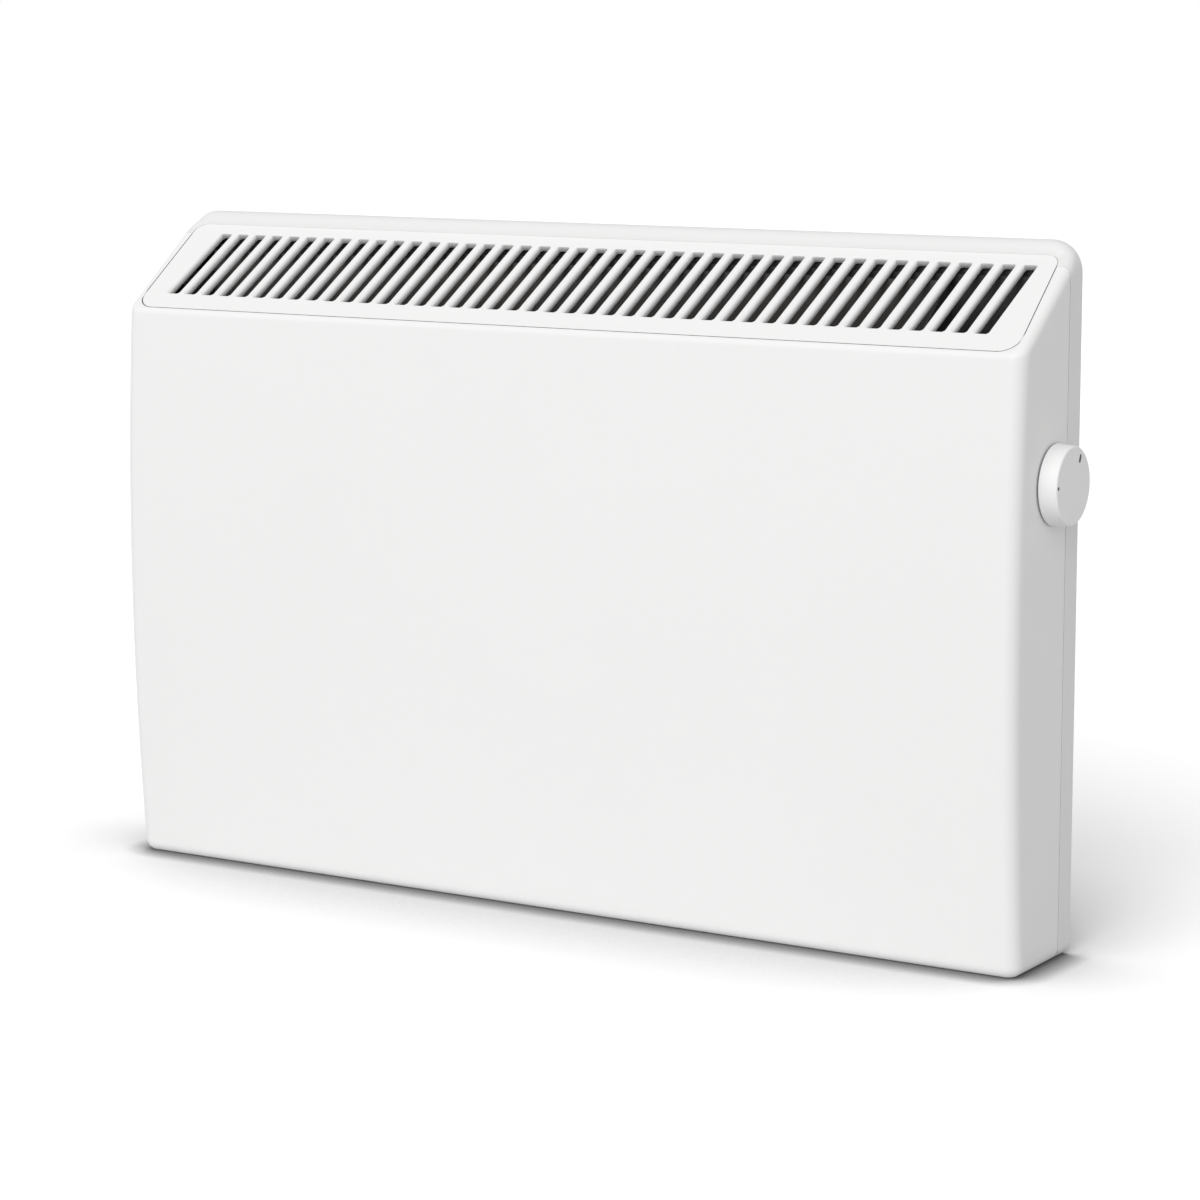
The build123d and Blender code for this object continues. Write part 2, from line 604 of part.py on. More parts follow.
def side_plate(x, outward):
    """Sheet across the casing at one end of the hot space, with flanges turned outwards."""
    top_gap = 10.0
    rise = SLOPE_RISE / SLOPE_RUN
    front_top = SHOULDER_HEIGHT + (SHOULDER_DEPTH - PLATE_FRONT) * rise - top_gap
    back_top = SHOULDER_HEIGHT + (SHOULDER_DEPTH - SEAM_DEPTH) * rise - top_gap
    turned_edge = SEAM_DEPTH + SHEET + 1
    outline = Polyline(
        (-SEAM_DEPTH, 12),
        (-turned_edge, 12),
        (-turned_edge, INLET_THICKNESS),
        (-PLATE_FRONT + 8, INLET_THICKNESS),
        (-PLATE_FRONT, INLET_THICKNESS + 8),
        (-PLATE_FRONT, front_top),
        (-SEAM_DEPTH, back_top),
        close=True,
    )
    face = make_face(outline)
    sheet = Pos(x, 0, 0) * extrude(Plane.YZ * face, amount=THIN_SHEET)
    reach = sorted((x, x + outward * PLATE_FLANGE + THIN_SHEET * (outward > 0)))
    sheet += block((reach[0], -SEAM_DEPTH - THIN_SHEET, 30), (reach[1], -SEAM_DEPTH, 400))
    sheet += block((reach[0], -PLATE_FRONT, 30), (reach[1], -PLATE_FRONT + THIN_SHEET, 370))
    sheet -= hole(element_axis(x), 7.0, 4)
    lead_notch = 2.5
    notch_front = -SEAM_DEPTH - 3 - lead_notch
    sheet -= block((x - 2, notch_front, LOW_LEAD_HEIGHT - lead_notch), (x + 2, 0, LOW_LEAD_HEIGHT + lead_notch))
    for z in SHIELD_SCREW_HEIGHTS:
        sheet -= screw_hole(at(flange_screw_x(x, outward), PLATE_FRONT, z, (0, 1, 0)), M4_HOLE, 3)
    for z in PLATE_SCREW_HEIGHTS:
        sheet -= screw_hole(at(flange_screw_x(x, outward), SEAM_DEPTH, z, (0, 1, 0)), M4_HOLE, 3)
    return sheet


def flange_screw_x(x, outward):
    """Where the screws of a side plate's flange stand."""
    return x + outward * FLANGE_SCREW


def left_side_plate():
    """Left wall of the hot space."""
    return side_plate(PLATE_LEFT, -1)


def right_side_plate():
    """Right wall of the hot space, with a round opening for the cut-out's terminals."""
    plate = side_plate(PLATE_RIGHT, 1)
    plate -= hole(at(PLATE_RIGHT, ELEMENT_DEPTH, CUTOUT_HEIGHT, (1, 0, 0)), 6.5, 3)
    for step in (-12, 12):
        plate -= screw_hole(at(PLATE_RIGHT, ELEMENT_DEPTH, CUTOUT_HEIGHT + step, (1, 0, 0)), 1.6, 3)
    return plate


def heat_shield_rear():
    """Sheet in front of the back panel, its upright edges turned back."""
    left = PLATE_LEFT + THIN_SHEET + 1
    right = PLATE_RIGHT - 1
    front = -REAR_SHIELD_DEPTH - SHIELD_SHEET
    sheet = block((left, front, 12), (right, front + SHIELD_SHEET, REAR_SHIELD_TOP))
    for x in (left, right - SHIELD_SHEET):
        sheet += block((x, front, 40), (x + SHIELD_SHEET, -SEAM_DEPTH - FIT, REAR_SHIELD_TOP))
    standoff = prism(4, REAR_SHIELD_DEPTH - SEAM_DEPTH)
    for x, z in rear_shield_places():
        place = at(x, REAR_SHIELD_DEPTH, z, (0, 1, 0))
        sheet += place * standoff
        sheet -= screw_hole(place, M4_RADIUS + FIT, 20)
    return sheet


def rear_shield_places():
    """Where the rear shield is screwed to the back panel."""
    sides = (PLATE_LEFT + REAR_SHIELD_SCREW_INSET, PLATE_RIGHT - REAR_SHIELD_SCREW_INSET)
    return [(x, z) for x in sides for z in REAR_SHIELD_SCREW_HEIGHTS]


def heat_shield_front():
    """Sheet behind the cover's front, with its top edge bent back over the hot air."""
    back = -PLATE_FRONT
    path = FilletPolyline(
        (back - SHIELD_SHEET / 2, 16),
        (back - SHIELD_SHEET / 2, 378),
        (back + 8, 388),
        radius=3,
    )
    section = Plane.YZ * trace(path, line_width=SHIELD_SHEET)
    left = PLATE_LEFT - PLATE_FLANGE
    right = PLATE_RIGHT + THIN_SHEET + PLATE_FLANGE
    sheet = Pos(left, 0, 0) * extrude(section, amount=right - left)
    sheet -= block((left, -REACH, HEM_HEIGHT), (PLATE_LEFT + 2, 0, HEIGHT))
    sheet -= block((PLATE_RIGHT - 2, -REACH, HEM_HEIGHT), (right, 0, HEIGHT))
    for x, z in front_shield_places():
        sheet -= screw_hole(at(x, PLATE_FRONT, z, (0, 1, 0)), M4_HOLE, 3)
    return sheet


def flange_places(heights):
    """Screw places on the flanges of both side plates."""
    sides = (flange_screw_x(PLATE_LEFT, -1), flange_screw_x(PLATE_RIGHT, 1))
    return [(x, z) for x in sides for z in heights]


def front_shield_places():
    """Where the front shield is screwed to the side plates."""
    return flange_places(SHIELD_SCREW_HEIGHTS)


def shield_screws():
    """Six screws: the front shield to the side plates, and the rear shield's standoffs."""
    front = PLATE_FRONT + SHIELD_SHEET
    rear = REAR_SHIELD_DEPTH + SHIELD_SHEET
    screws = [at(x, front, z, (0, -1, 0)) * hex_screw(5) for x, z in front_shield_places()]
    return screws + [at(x, rear, z, (0, -1, 0)) * hex_screw(8.5) for x, z in rear_shield_places()]


def plate_screws():
    """Four screws that hold the side plates' rear flanges to the back panel."""
    face = SEAM_DEPTH + THIN_SHEET
    return [at(x, face, z, (0, -1, 0)) * hex_screw(3) for x, z in flange_places(PLATE_SCREW_HEIGHTS)]


def thermostat_foot_places():
    """Where the thermostat's bracket is screwed to the back panel."""
    x = THERMOSTAT_X + THERMOSTAT_LENGTH - FOOT_SCREW_INSET
    return [(x, KNOB_HEIGHT + step) for step in (-FOOT_SCREW_STEP, FOOT_SCREW_STEP)]


def panel_screw_places():
    """All the places where an inner piece is screwed to the back panel."""
    clamp = [(GLAND_X + step, CLAMP_HEIGHT) for step in (-CLAMP_SCREW_STEP, CLAMP_SCREW_STEP)]
    return flange_places(PLATE_SCREW_HEIGHTS) + rear_shield_places() + thermostat_foot_places() + clamp


def bracket_screws():
    """Two screws that hold the thermostat's bracket to the back panel."""
    face = SEAM_DEPTH + BRACKET_PLATE
    return [at(x, face, z, (0, -1, 0)) * hex_screw(3.4) for x, z in thermostat_foot_places()]


def thermal_cutout():
    """Disc cut-out on the hot side of the plate, its flange and two terminal tabs."""
    axis = Plane(origin=(PLATE_RIGHT, -ELEMENT_DEPTH, CUTOUT_HEIGHT), x_dir=(0, 0, 1), z_dir=(-1, 0, 0))
    can = Cylinder(8, 9, align=(Align.CENTER, Align.CENTER, Align.MIN))
    can = chamfer(can.edges().sort_by(Axis.Z)[-1], 1)
    flange = extrude(SlotOverall(33, 16.5), amount=0.8)
    base = Cylinder(6.2, 10, align=(Align.CENTER, Align.CENTER, Align.MAX))
    body = axis * (can + flange + base)
    tab_left = PLATE_RIGHT + 9
    for depth in (ELEMENT_DEPTH - 3, ELEMENT_DEPTH + 3):
        body += block(
            (tab_left, -depth - 0.4, CUTOUT_HEIGHT - 3),
            (tab_left + 9, -depth + 0.4, CUTOUT_HEIGHT + 3),
        )
    for step in (-12, 12):
        body -= screw_hole(at(PLATE_RIGHT, ELEMENT_DEPTH, CUTOUT_HEIGHT + step, (1, 0, 0)), 1.6, 3)
    return body


def cutout_screws():
    """Two small screws through the cut-out's flange into the plate."""
    face = PLATE_RIGHT - 0.8
    small = hex_screw(3.5, radius=1.5, across_flats=5.5, head=1.6)
    steps = (-12, 12)
    return [at(face, ELEMENT_DEPTH, CUTOUT_HEIGHT + step, (-1, 0, 0)) * small for step in steps]


def cable_gland():
    """Flanged bush in the back panel where the mains cord comes in."""
    axis = at(GLAND_X, SEAM_DEPTH - SHEET, GLAND_HEIGHT, (0, 1, 0))
    flange = Cylinder(9, 2.5, align=(Align.CENTER, Align.CENTER, Align.MIN))
    flange = chamfer(flange.edges().sort_by(Axis.Z)[-1], 1)
    neck = Cylinder(GLAND_HOLE_RADIUS - 0.1, SHEET + 1.2, align=(Align.CENTER, Align.CENTER, Align.MAX))
    barb = Pos(0, 0, -SHEET - 1.2) * Cone(
        5.2, 7, 3, align=(Align.CENTER, Align.CENTER, Align.MAX)
    )
    barb += Pos(0, 0, -SHEET) * Cylinder(7, 1.2, align=(Align.CENTER, Align.CENTER, Align.MAX))
    return axis * (flange + neck + barb - Cylinder(GLAND_BORE_RADIUS, 40))


def cord_clamp():
    """Saddle on the back panel over the cord's way in."""
    low = CLAMP_HEIGHT - 5
    high = CLAMP_HEIGHT + 5
    saddle = block((GLAND_X - 15, -SEAM_DEPTH - 11, low), (GLAND_X + 15, -SEAM_DEPTH, high))
    saddle = fillet(saddle.edges().filter_by(Axis.Z).sort_by(Axis.Y)[:2], 3)
    saddle -= at(GLAND_X, SEAM_DEPTH + 4, CLAMP_HEIGHT, (0, 0, 1)) * Cylinder(4, 20)
    saddle -= block((GLAND_X - 4, -SEAM_DEPTH - 4, low - 1), (GLAND_X + 4, -SEAM_DEPTH + 1, high + 1))
    for x in (GLAND_X - CLAMP_SCREW_STEP, GLAND_X + CLAMP_SCREW_STEP):
        saddle -= screw_hole(at(x, SEAM_DEPTH, CLAMP_HEIGHT, (0, 1, 0)), M4_HOLE, 20)
    return saddle


def clamp_screws():
    """Two screws through the saddle."""
    places = [at(GLAND_X + step, SEAM_DEPTH + 11, CLAMP_HEIGHT, (0, -1, 0)) for step in (-CLAMP_SCREW_STEP, CLAMP_SCREW_STEP)]
    return [place * hex_screw(12.6) for place in places]


def terminal_block():
    """Three-way block with a wire hole through each way and a screw hole from the front."""
    half = 18.0
    low = BLOCK_HEIGHT - 8
    high = BLOCK_HEIGHT + 8
    body = block((GLAND_X - half, -SEAM_DEPTH - 13, low), (GLAND_X + half, -SEAM_DEPTH, high))
    for way in (-12, 0, 12):
        x = GLAND_X + way
        body -= screw_hole(at(x, SEAM_DEPTH + 6, BLOCK_HEIGHT, (0, 0, 1)), 1.9, 20)
        body -= screw_hole(at(x, SEAM_DEPTH + 13, BLOCK_HEIGHT, (0, -1, 0)), 1.9, 5)
    for way in (-6, 6):
        ridge = block(
            (GLAND_X + way - 0.8, -SEAM_DEPTH - 15, low),
            (GLAND_X + way + 0.8, -SEAM_DEPTH - 13, high),
        )
        body += ridge
    return body


def terminal_screws():
    """Three screws in the terminal block."""
    grub = Pos(0, 0, -4) * prism(1.8, 4)
    ways = (-12, 0, 12)
    return [at(GLAND_X + way, SEAM_DEPTH + 12.4, BLOCK_HEIGHT, (0, -1, 0)) * grub for way in ways]


def earth_stud():
    """Stud through the back panel with its head behind the plate."""
    return at(STUD_X, SEAM_DEPTH - SHEET, STUD_HEIGHT, (0, 1, 0)) * pan_screw(14)


def earth_tag():
    """Ring tag under the earth nut."""
    tag = Circle(4.5) + Pos(0, -6) * Rectangle(4, 8) - RegularPolygon(M4_HOLE, 8, major_radius=False)
    flat = extrude(tag, amount=0.8)
    return Plane(origin=(STUD_X, -SEAM_DEPTH, STUD_HEIGHT), x_dir=(1, 0, 0), z_dir=(0, -1, 0)) * flat


def earth_nut():
    """Hexagon nut on the earth stud."""
    nut = prism(M4_FLATS / 2, 3.2, sides=6) - prism(M4_RADIUS + FIT, 3.2)
    return at(STUD_X, SEAM_DEPTH + 0.8, STUD_HEIGHT, (0, -1, 0)) * nut


def lead(points, radius):
    """An insulated lead along straight runs joined by arcs, starting square to its first run."""
    path = FilletPolyline(*points, radius=radius)
    first = Vector(*points[1]) - Vector(*points[0])
    section = Plane(origin=points[0], z_dir=first) * Circle(LEAD_RADIUS)
    return sweep(section, path=path)


def live_lead():
    """From the terminal block up to the thermostat."""
    y = -SEAM_DEPTH - 6
    tab_y = -KNOB_DEPTH - 8
    return lead(
        (
            (GLAND_X, y, BLOCK_HEIGHT + 8),
            (GLAND_X, y, BLOCK_HEIGHT + 60),
            (THERMOSTAT_X - 4, tab_y, KNOB_HEIGHT - 50),
            (THERMOSTAT_X - 4, tab_y, KNOB_HEIGHT - 11),
        ),
        60,
    )


def switched_lead():
    """From the thermostat down to the cut-out."""
    tab_y = -KNOB_DEPTH + 8
    cutout_y = -ELEMENT_DEPTH + 3
    x = PLATE_RIGHT + 15
    return lead(
        (
            (THERMOSTAT_X - 4, tab_y, KNOB_HEIGHT - 11),
            (THERMOSTAT_X - 4, tab_y, KNOB_HEIGHT - 26),
            (x, cutout_y, CUTOUT_HEIGHT + 22),
            (x, cutout_y, CUTOUT_HEIGHT + 3),
        ),
        7,
    )


def element_lead():
    """From the cut-out down to the rod's right-hand terminal."""
    cutout_y = -ELEMENT_DEPTH - 3
    x = PLATE_RIGHT + 15
    tab_x = ROD_RIGHT + 8.5
    return lead(
        (
            (x, cutout_y, CUTOUT_HEIGHT - 3),
            (x, cutout_y, CUTOUT_HEIGHT - 40),
            (tab_x, -ELEMENT_DEPTH, ELEMENT_HEIGHT + 36),
            (tab_x, -ELEMENT_DEPTH, ELEMENT_HEIGHT + 3.2),
        ),
        60,
    )


def neutral_lead():
    """From the terminal block behind the rear shield to the rod's left-hand terminal."""
    x = GLAND_X - 12
    y = -SEAM_DEPTH - 6
    behind = -SEAM_DEPTH - 3
    low = LOW_LEAD_HEIGHT
    tab_x = ROD_LEFT - 8.5
    return lead(
        (
            (x, y, BLOCK_HEIGHT - 8),
            (x, y, BLOCK_HEIGHT - 18),
            (x - 8, behind, BLOCK_HEIGHT - 29),
            (x - 8, behind, low),
            (PLATE_LEFT - 2, behind, low),
            (tab_x, -ELEMENT_DEPTH, low + 24),
            (tab_x, -ELEMENT_DEPTH, ELEMENT_HEIGHT - 3.2),
        ),
        8,
    )


def earth_lead():
    """From the terminal block to the earth tag."""
    x = GLAND_X + 12
    tag_y = -SEAM_DEPTH - 0.85 - LEAD_RADIUS
    return lead(
        (
            (x, -SEAM_DEPTH - 6, BLOCK_HEIGHT + 8),
            (x, -SEAM_DEPTH - 6, BLOCK_HEIGHT + 13),
            (STUD_X, tag_y, BLOCK_HEIGHT + 24),
            (STUD_X, tag_y, STUD_HEIGHT - 6),
        ),
        8,
    )


def cover_screws():
    """Six screws from behind the plate into the cover's turned edge."""
    face = SEAM_DEPTH - SHEET
    return [at(x, face, z, (0, 1, 0)) * pan_screw(5) for x, z in COVER_SCREW_PLACES]


def hook(x, height):
    """One hook of the wall bracket: a leg out from the wall and a tip turned up."""
    tip_front = -SEAM_DEPTH - 0.5 - BRACKET_SHEET
    half = HOOK_WIDTH / 2
    leg = block((x - half, tip_front, height - BRACKET_SHEET), (x + half, 0, height))
    tip = block(
        (x - half, tip_front, height - BRACKET_SHEET),
        (x + half, tip_front + BRACKET_SHEET, height + HOOK_TIP),
    )
    return leg + fillet(tip.edges().filter_by(Axis.Y).sort_by(Axis.Z)[-2:], 4)


def wall_bracket():
    """Steel plate on the wall with turned edges, four slotted screw holes and four hooks."""
    plate = fillet(Rectangle(BRACKET_HALF_WIDTH * 2, BRACKET_HALF_HEIGHT * 2).vertices(), 8)
    slot = SlotOverall(WALL_SLOT_LENGTH, WALL_SLOT_RADIUS * 2)
    for x in (-SCREW_HALF_SPACING_X, SCREW_HALF_SPACING_X):
        for z in (-SCREW_HALF_SPACING_Z, SCREW_HALF_SPACING_Z):
            plate -= Pos(x, z) * slot
    bracket = Pos(0, 0, BRACKET_CENTRE) * extrude(Plane.XZ * plate, amount=BRACKET_SHEET)
    half = BRACKET_HALF_WIDTH - 12
    for edge in (-BRACKET_HALF_HEIGHT, BRACKET_HALF_HEIGHT - BRACKET_SHEET):
        low = BRACKET_CENTRE + edge
        bracket += block((-half, -BRACKET_TURN, low), (half, 0, low + BRACKET_SHEET))
    for x in (-HOOK_X, HOOK_X):
        for height in HOOK_HEIGHTS:
            bracket += hook(x, height)
    return bracket


def write(name, shape):
    """Write one piece, or a group of like pieces, moved to the heater's origin."""
    pieces = shape if isinstance(shape, list) else [shape]
    moved = [Pos(0, 0, -BRACKET_CENTRE) * piece for piece in pieces]
    solids = [solid for piece in moved for solid in piece.solids()]
    export_step(solids[0] if len(solids) == 1 else Compound(children=solids), f"parts/{name}.step")


def build():
    """Make every piece and write it."""
    os.makedirs("parts", exist_ok=True)
    outside = casing()
    inside = cavity()
    write("front_cover", front_cover(outside, inside))
    write("back_panel", back_panel(outside, inside))
    makers = (
        outlet_grille, inlet_grille, wall_bracket,
        thermostat_knob, thermostat_spindle, knob_spring_clip,
        thermostat_body, thermostat_bracket, thermostat_screws, bracket_screws,
        capillary_tube, sensor_bulb, sensor_clips,
        element_tube, element_fins, element_terminals,
        left_side_plate, right_side_plate, plate_screws,
        heat_shield_rear, heat_shield_front, shield_screws,
        thermal_cutout, cutout_screws,
        cable_gland, cord_clamp, clamp_screws, terminal_block, terminal_screws,
        earth_stud, earth_tag, earth_nut,
        live_lead, switched_lead, element_lead, neutral_lead, earth_lead,
        cover_screws,
    )
    for maker in makers:
        write(maker.__name__, maker())
    write("element_insulators", insulator_pair())


build()
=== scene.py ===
"""Wall panel convector heater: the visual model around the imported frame.

Lengths are millimetres in the maker's drawing, where x runs along the wall, y into
the wall and z up from the heater's underside. ``to_frame`` turns them into the
frame's metres, whose origin is the middle of the wall screws.
"""

import logging
import math
from dataclasses import dataclass, field, replace
from enum import Enum
from functools import partial, reduce
from typing import Iterable, Optional, Sequence

import bmesh
import bpy
import numpy as np
from mathutils import Matrix, Vector
from numpy.typing import NDArray


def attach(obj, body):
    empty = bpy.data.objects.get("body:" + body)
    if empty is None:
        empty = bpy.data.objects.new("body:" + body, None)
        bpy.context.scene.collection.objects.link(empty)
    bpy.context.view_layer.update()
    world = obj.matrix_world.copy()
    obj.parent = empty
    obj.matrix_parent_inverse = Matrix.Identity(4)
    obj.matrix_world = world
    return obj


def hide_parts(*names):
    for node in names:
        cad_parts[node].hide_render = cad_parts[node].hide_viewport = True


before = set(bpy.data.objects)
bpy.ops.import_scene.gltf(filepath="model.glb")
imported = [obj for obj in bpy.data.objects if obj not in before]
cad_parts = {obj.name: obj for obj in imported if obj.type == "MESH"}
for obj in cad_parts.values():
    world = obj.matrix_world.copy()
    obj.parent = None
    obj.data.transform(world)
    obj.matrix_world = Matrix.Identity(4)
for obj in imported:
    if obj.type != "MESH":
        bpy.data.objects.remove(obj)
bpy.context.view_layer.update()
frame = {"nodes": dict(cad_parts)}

LOG = logging.getLogger("heater")

Points = NDArray[np.float64]
Faces = NDArray[np.int64]
Pair = tuple[float, float]
Triple = tuple[float, float, float]
Colour = Triple
Stops = Sequence[tuple[float, Colour]]
Socket = bpy.types.NodeSocket
Inputs = dict[str | int, object]

METRE = 0.001
UNDERSIDE = -240.0
MERGE_GAP = 0.002 * METRE
ACROSS = np.array([1.0, 0.0, 0.0])
UP = np.array([0.0, 0.0, 1.0])
DOWN = -UP
MIRROR = np.array([-1.0, 1.0])
MIRROR_X = np.array([-1.0, 1.0, 1.0])

# How far a quarter circle's middle lies in from its corner, as a share of its radius.
ROUND_MIDDLE = 0.29
# A cosine up to this counts as 0.
SMALLEST_COSINE = 1e-9
# Between these lie most of a noise's values.
NOISE_LOW, NOISE_HIGH = 0.25, 0.75
# Places of the dark and the light shade of a colour on a ramp.
DARK_PLACE, LIGHT_PLACE = 0.3, 0.7
# Numbers of the colour sockets of a Mix node.
MIX_FIRST, MIX_SECOND, MIX_RESULT = 6, 7, 2

WHITE = (0.86, 0.86, 0.856)
PANEL_WHITE = (0.8, 0.8, 0.796)
KNOB_WHITE = (0.87, 0.87, 0.866)
# Dark grey on the knob's inside and undercut: painted shade of the hollow and the gap at its
# foot.
KNOB_PAINTED_SHADE = (0.2, 0.2, 0.2)
INK = (0.035, 0.035, 0.037)
# Black of insides, gaps and hidden faces: partly a lining, partly painted shade.
LINING_AND_PAINTED_SHADE = (0.035, 0.035, 0.036)
WARM_LINING_AND_PAINTED_SHADE = (0.05, 0.045, 0.04)
SCREW_ZINC = (0.66, 0.66, 0.65)
PURE_WHITE = (1.0, 1.0, 1.0, 1.0)


class Body(Enum):
    """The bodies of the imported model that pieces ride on."""

    HEATER = "heater"
    CONTROL = "thermostat_control"


class Slot(Enum):
    """Names of the record's material slots; nothing in the script reads them."""

    COVER_PAINT = "cover_paint"
    GRILLE_PLASTIC = "grille_plastic"
    KNOB_PLASTIC = "knob_plastic"
    DARK_PLASTIC = "dark_plastic"
    SCREW_STEEL = "screw_steel"


# --------------------------------------------------------------------------- surfaces


def to_frame(points: Points) -> Points:
    """Drawing millimetres as the frame's metres.

    Args:
        points: Array whose last axis holds x, y and z in millimetres.

    Returns:
        The same points in metres, lowered to the frame's origin.
    """
    return (points + np.array([0.0, 0.0, UNDERSIDE])) * METRE


def unit(vectors: Points) -> Points:
    """Vectors scaled to length one along the last axis."""
    return vectors / np.linalg.norm(vectors, axis=-1, keepdims=True)


def turned(start: Points, end: Points, shares: Points) -> Points:
    """Unit vectors on the great circle from one direction to another.

    At share s between directions a and b that are an angle W apart, the direction
    is (sin((1 - s) W) a + sin(s W) b) / sin W.

    Args:
        start: Unit directions a, one per column.
        end: Unit directions b, one per column or a single one.
        shares: Shares s from 0 to 1, one per row.

    Returns:
        Directions in rows by columns.
    """
    end = np.broadcast_to(end, start.shape)
    angle = np.arccos(np.clip((start * end).sum(-1), -1.0, 1.0))[None, :, None]
    s = np.asarray(shares)[:, None, None]
    return (np.sin((1 - s) * angle) * start + np.sin(s * angle) * end) / np.sin(angle)


def stacked(*parts: Points | float) -> Points:
    """Values side by side on a new last axis, each spread over the others' shape."""
    return np.stack(np.broadcast_arrays(*parts), -1)


def around(sides: int) -> Points:
    """Angles of a full turn in equal steps, in radians."""
    return np.linspace(0.0, 2 * math.pi, sides, endpoint=False)


def grid_faces(rows: int, columns: int, closed: bool = False) -> Faces:
    """Quads of a grid of points that is stored row by row.

    Args:
        rows: Number of rows of points.
        columns: Number of points in a row.
        closed: Whether each row's last point joins its first.

    Returns:
        Four point numbers for each quad, quads in the order of their lowest point.
    """
    row = np.arange(rows - 1)[:, None] * columns
    below = row + columns
    j = np.arange(columns if closed else columns - 1)[None, :]
    k = (j + 1) % columns
    return stacked(row + j, below + j, below + k, row + k).reshape(-1, 4)


@dataclass
class Shell:
    """Points and faces of a surface that is being put together, in millimetres."""

    points: list[Points] = field(default_factory=list)
    faces: list[list[int]] = field(default_factory=list)
    finishes: list[int] = field(default_factory=list)
    count: int = 0

    def add(
        self,
        points: Points,
        faces: Iterable[Sequence[int]],
        finish: int | NDArray[np.int64] = 0,
    ) -> None:
        """Add points and the faces between them.

        Args:
            points: Array whose last axis holds x, y and z.
            faces: Point numbers of each face, counted from this call's first point.
            finish: Number of the finish that the faces take, or one for each face.
        """
        flat = np.asarray(points, float).reshape(-1, 3)
        self.points.append(flat)
        new = [[int(n) + self.count for n in face] for face in faces]
        self.count += len(flat)
        self.faces += new
        self.finishes += np.broadcast_to(finish, len(new)).tolist()

    def add_grid(self, grid: Points, closed: bool = False, finish: int = 0) -> None:
        """Add a grid of points, rows by columns by three, with its quads."""
        rows, columns = grid.shape[:2]
        self.add(grid, grid_faces(rows, columns, closed), finish)

    def add_tube(self, grid: Points, finish: int = 0) -> None:
        """Add a grid whose rows are closed, and a face over its first and last row."""
        rows, columns = grid.shape[:2]
        ring = np.arange(columns)
        caps = [ring, ring[::-1] + (rows - 1) * columns]
        self.add(grid, [*grid_faces(rows, columns, closed=True), *caps], finish)

    def mesh(self, name: str, outward: bool = True) -> bpy.types.Mesh:
        """Make the mesh: points within a hair of each other become one.

        Args:
            name: Name of the mesh.
            outward: Whether the normals of closed shells are turned outwards.

        Returns:
            The mesh in the frame's metres, without its object.
        """
        made = bpy.data.meshes.new(name)
        made.from_pydata(to_frame(np.concatenate(self.points)).tolist(), [], self.faces)
        made.polygons.foreach_set("material_index", self.finishes)
        work = bmesh.new()
        work.from_mesh(made)
        bmesh.ops.remove_doubles(work, verts=work.verts, dist=MERGE_GAP)
        bmesh.ops.dissolve_degenerate(work, edges=work.edges, dist=MERGE_GAP / 2)
        if outward:
            bmesh.ops.recalc_face_normals(work, faces=work.faces)
        work.to_mesh(made)
        work.free()
        return made


def place(mesh: bpy.types.Mesh, name: str, crease: float = 35.0) -> bpy.types.Object:
    """Put a mesh in the scene as a piece with soft faces and crisp edges.

    Args:
        mesh: The finished mesh, in the frame's metres.
        name: Name of the piece.
        crease: Angle in degrees above which an edge stays crisp.

    Returns:
        The piece, with its object at the origin.
    """
    mesh.shade_smooth()
    mesh.set_sharp_from_angle(angle=math.radians(crease))
    piece = bpy.data.objects.new(name, mesh)
    bpy.context.scene.collection.objects.link(piece)
    return piece


def thickened(mesh: bpy.types.Mesh, thickness: float, inner_finish: int) -> bpy.types.Mesh:
    """Give an open sheet its thickness, grown inwards from its outside.

    Args:
        mesh: The sheet's outside, its faces outwards.
        thickness: Thickness in millimetres.
        inner_finish: Number added to the finish of the inside faces.

    Returns:
        A closed mesh.
    """
    for _ in range(inner_finish + 1):
        mesh.materials.append(None)
    carrier = bpy.data.objects.new("sheet", mesh)
    bpy.context.scene.collection.objects.link(carrier)
    wall = carrier.modifiers.new("wall", "SOLIDIFY")
    wall.thickness = thickness * METRE
    wall.offset = -1.0
    wall.use_even_offset = True
    wall.material_offset = inner_finish
    shown = carrier.evaluated_get(bpy.context.evaluated_depsgraph_get())
    made = bpy.data.meshes.new_from_object(shown)
    bpy.data.objects.remove(carrier)
    return made


def joined(name: str, meshes: Sequence[bpy.types.Mesh]) -> bpy.types.Mesh:
    """Several meshes as the shells of one."""
    work = bmesh.new()
    for mesh in meshes:
        work.from_mesh(mesh)
    made = bpy.data.meshes.new(name)
    work.to_mesh(made)
    work.free()
    return made


def revolved(profile: Points, sides: int) -> Points:
    """Turn a profile round the x axis.

    A profile point (x, r) gives the circle (x, r cos t, r sin t) for t from 0 to a
    full turn.

    Args:
        profile: Points (x, r), from one end to the other.
        sides: Number of points on each circle.

    Returns:
        Grid of profile points by circle points.
    """
    angle = around(sides)[None, :]
    x, radius = profile[:, :1], profile[:, 1:]
    return stacked(x, radius * np.cos(angle), radius * np.sin(angle))


def arc(
    centre: Points | Pair, radius: float, start: float, end: float, steps: int
) -> Points:
    """Points of a plane arc: centre + radius (cos a, sin a).

    Args:
        centre: The arc's centre.
        radius: The arc's radius.
        start: Angle a of the first point, in degrees.
        end: Angle a of the last point, in degrees.
        steps: Number of equal steps between them.

    Returns:
        The points in order.
    """
    angle = np.radians(np.linspace(start, end, steps + 1))
    return np.array(centre) + radius * stacked(np.cos(angle), np.sin(angle))


# --------------------------------------------------------------------------- finishes


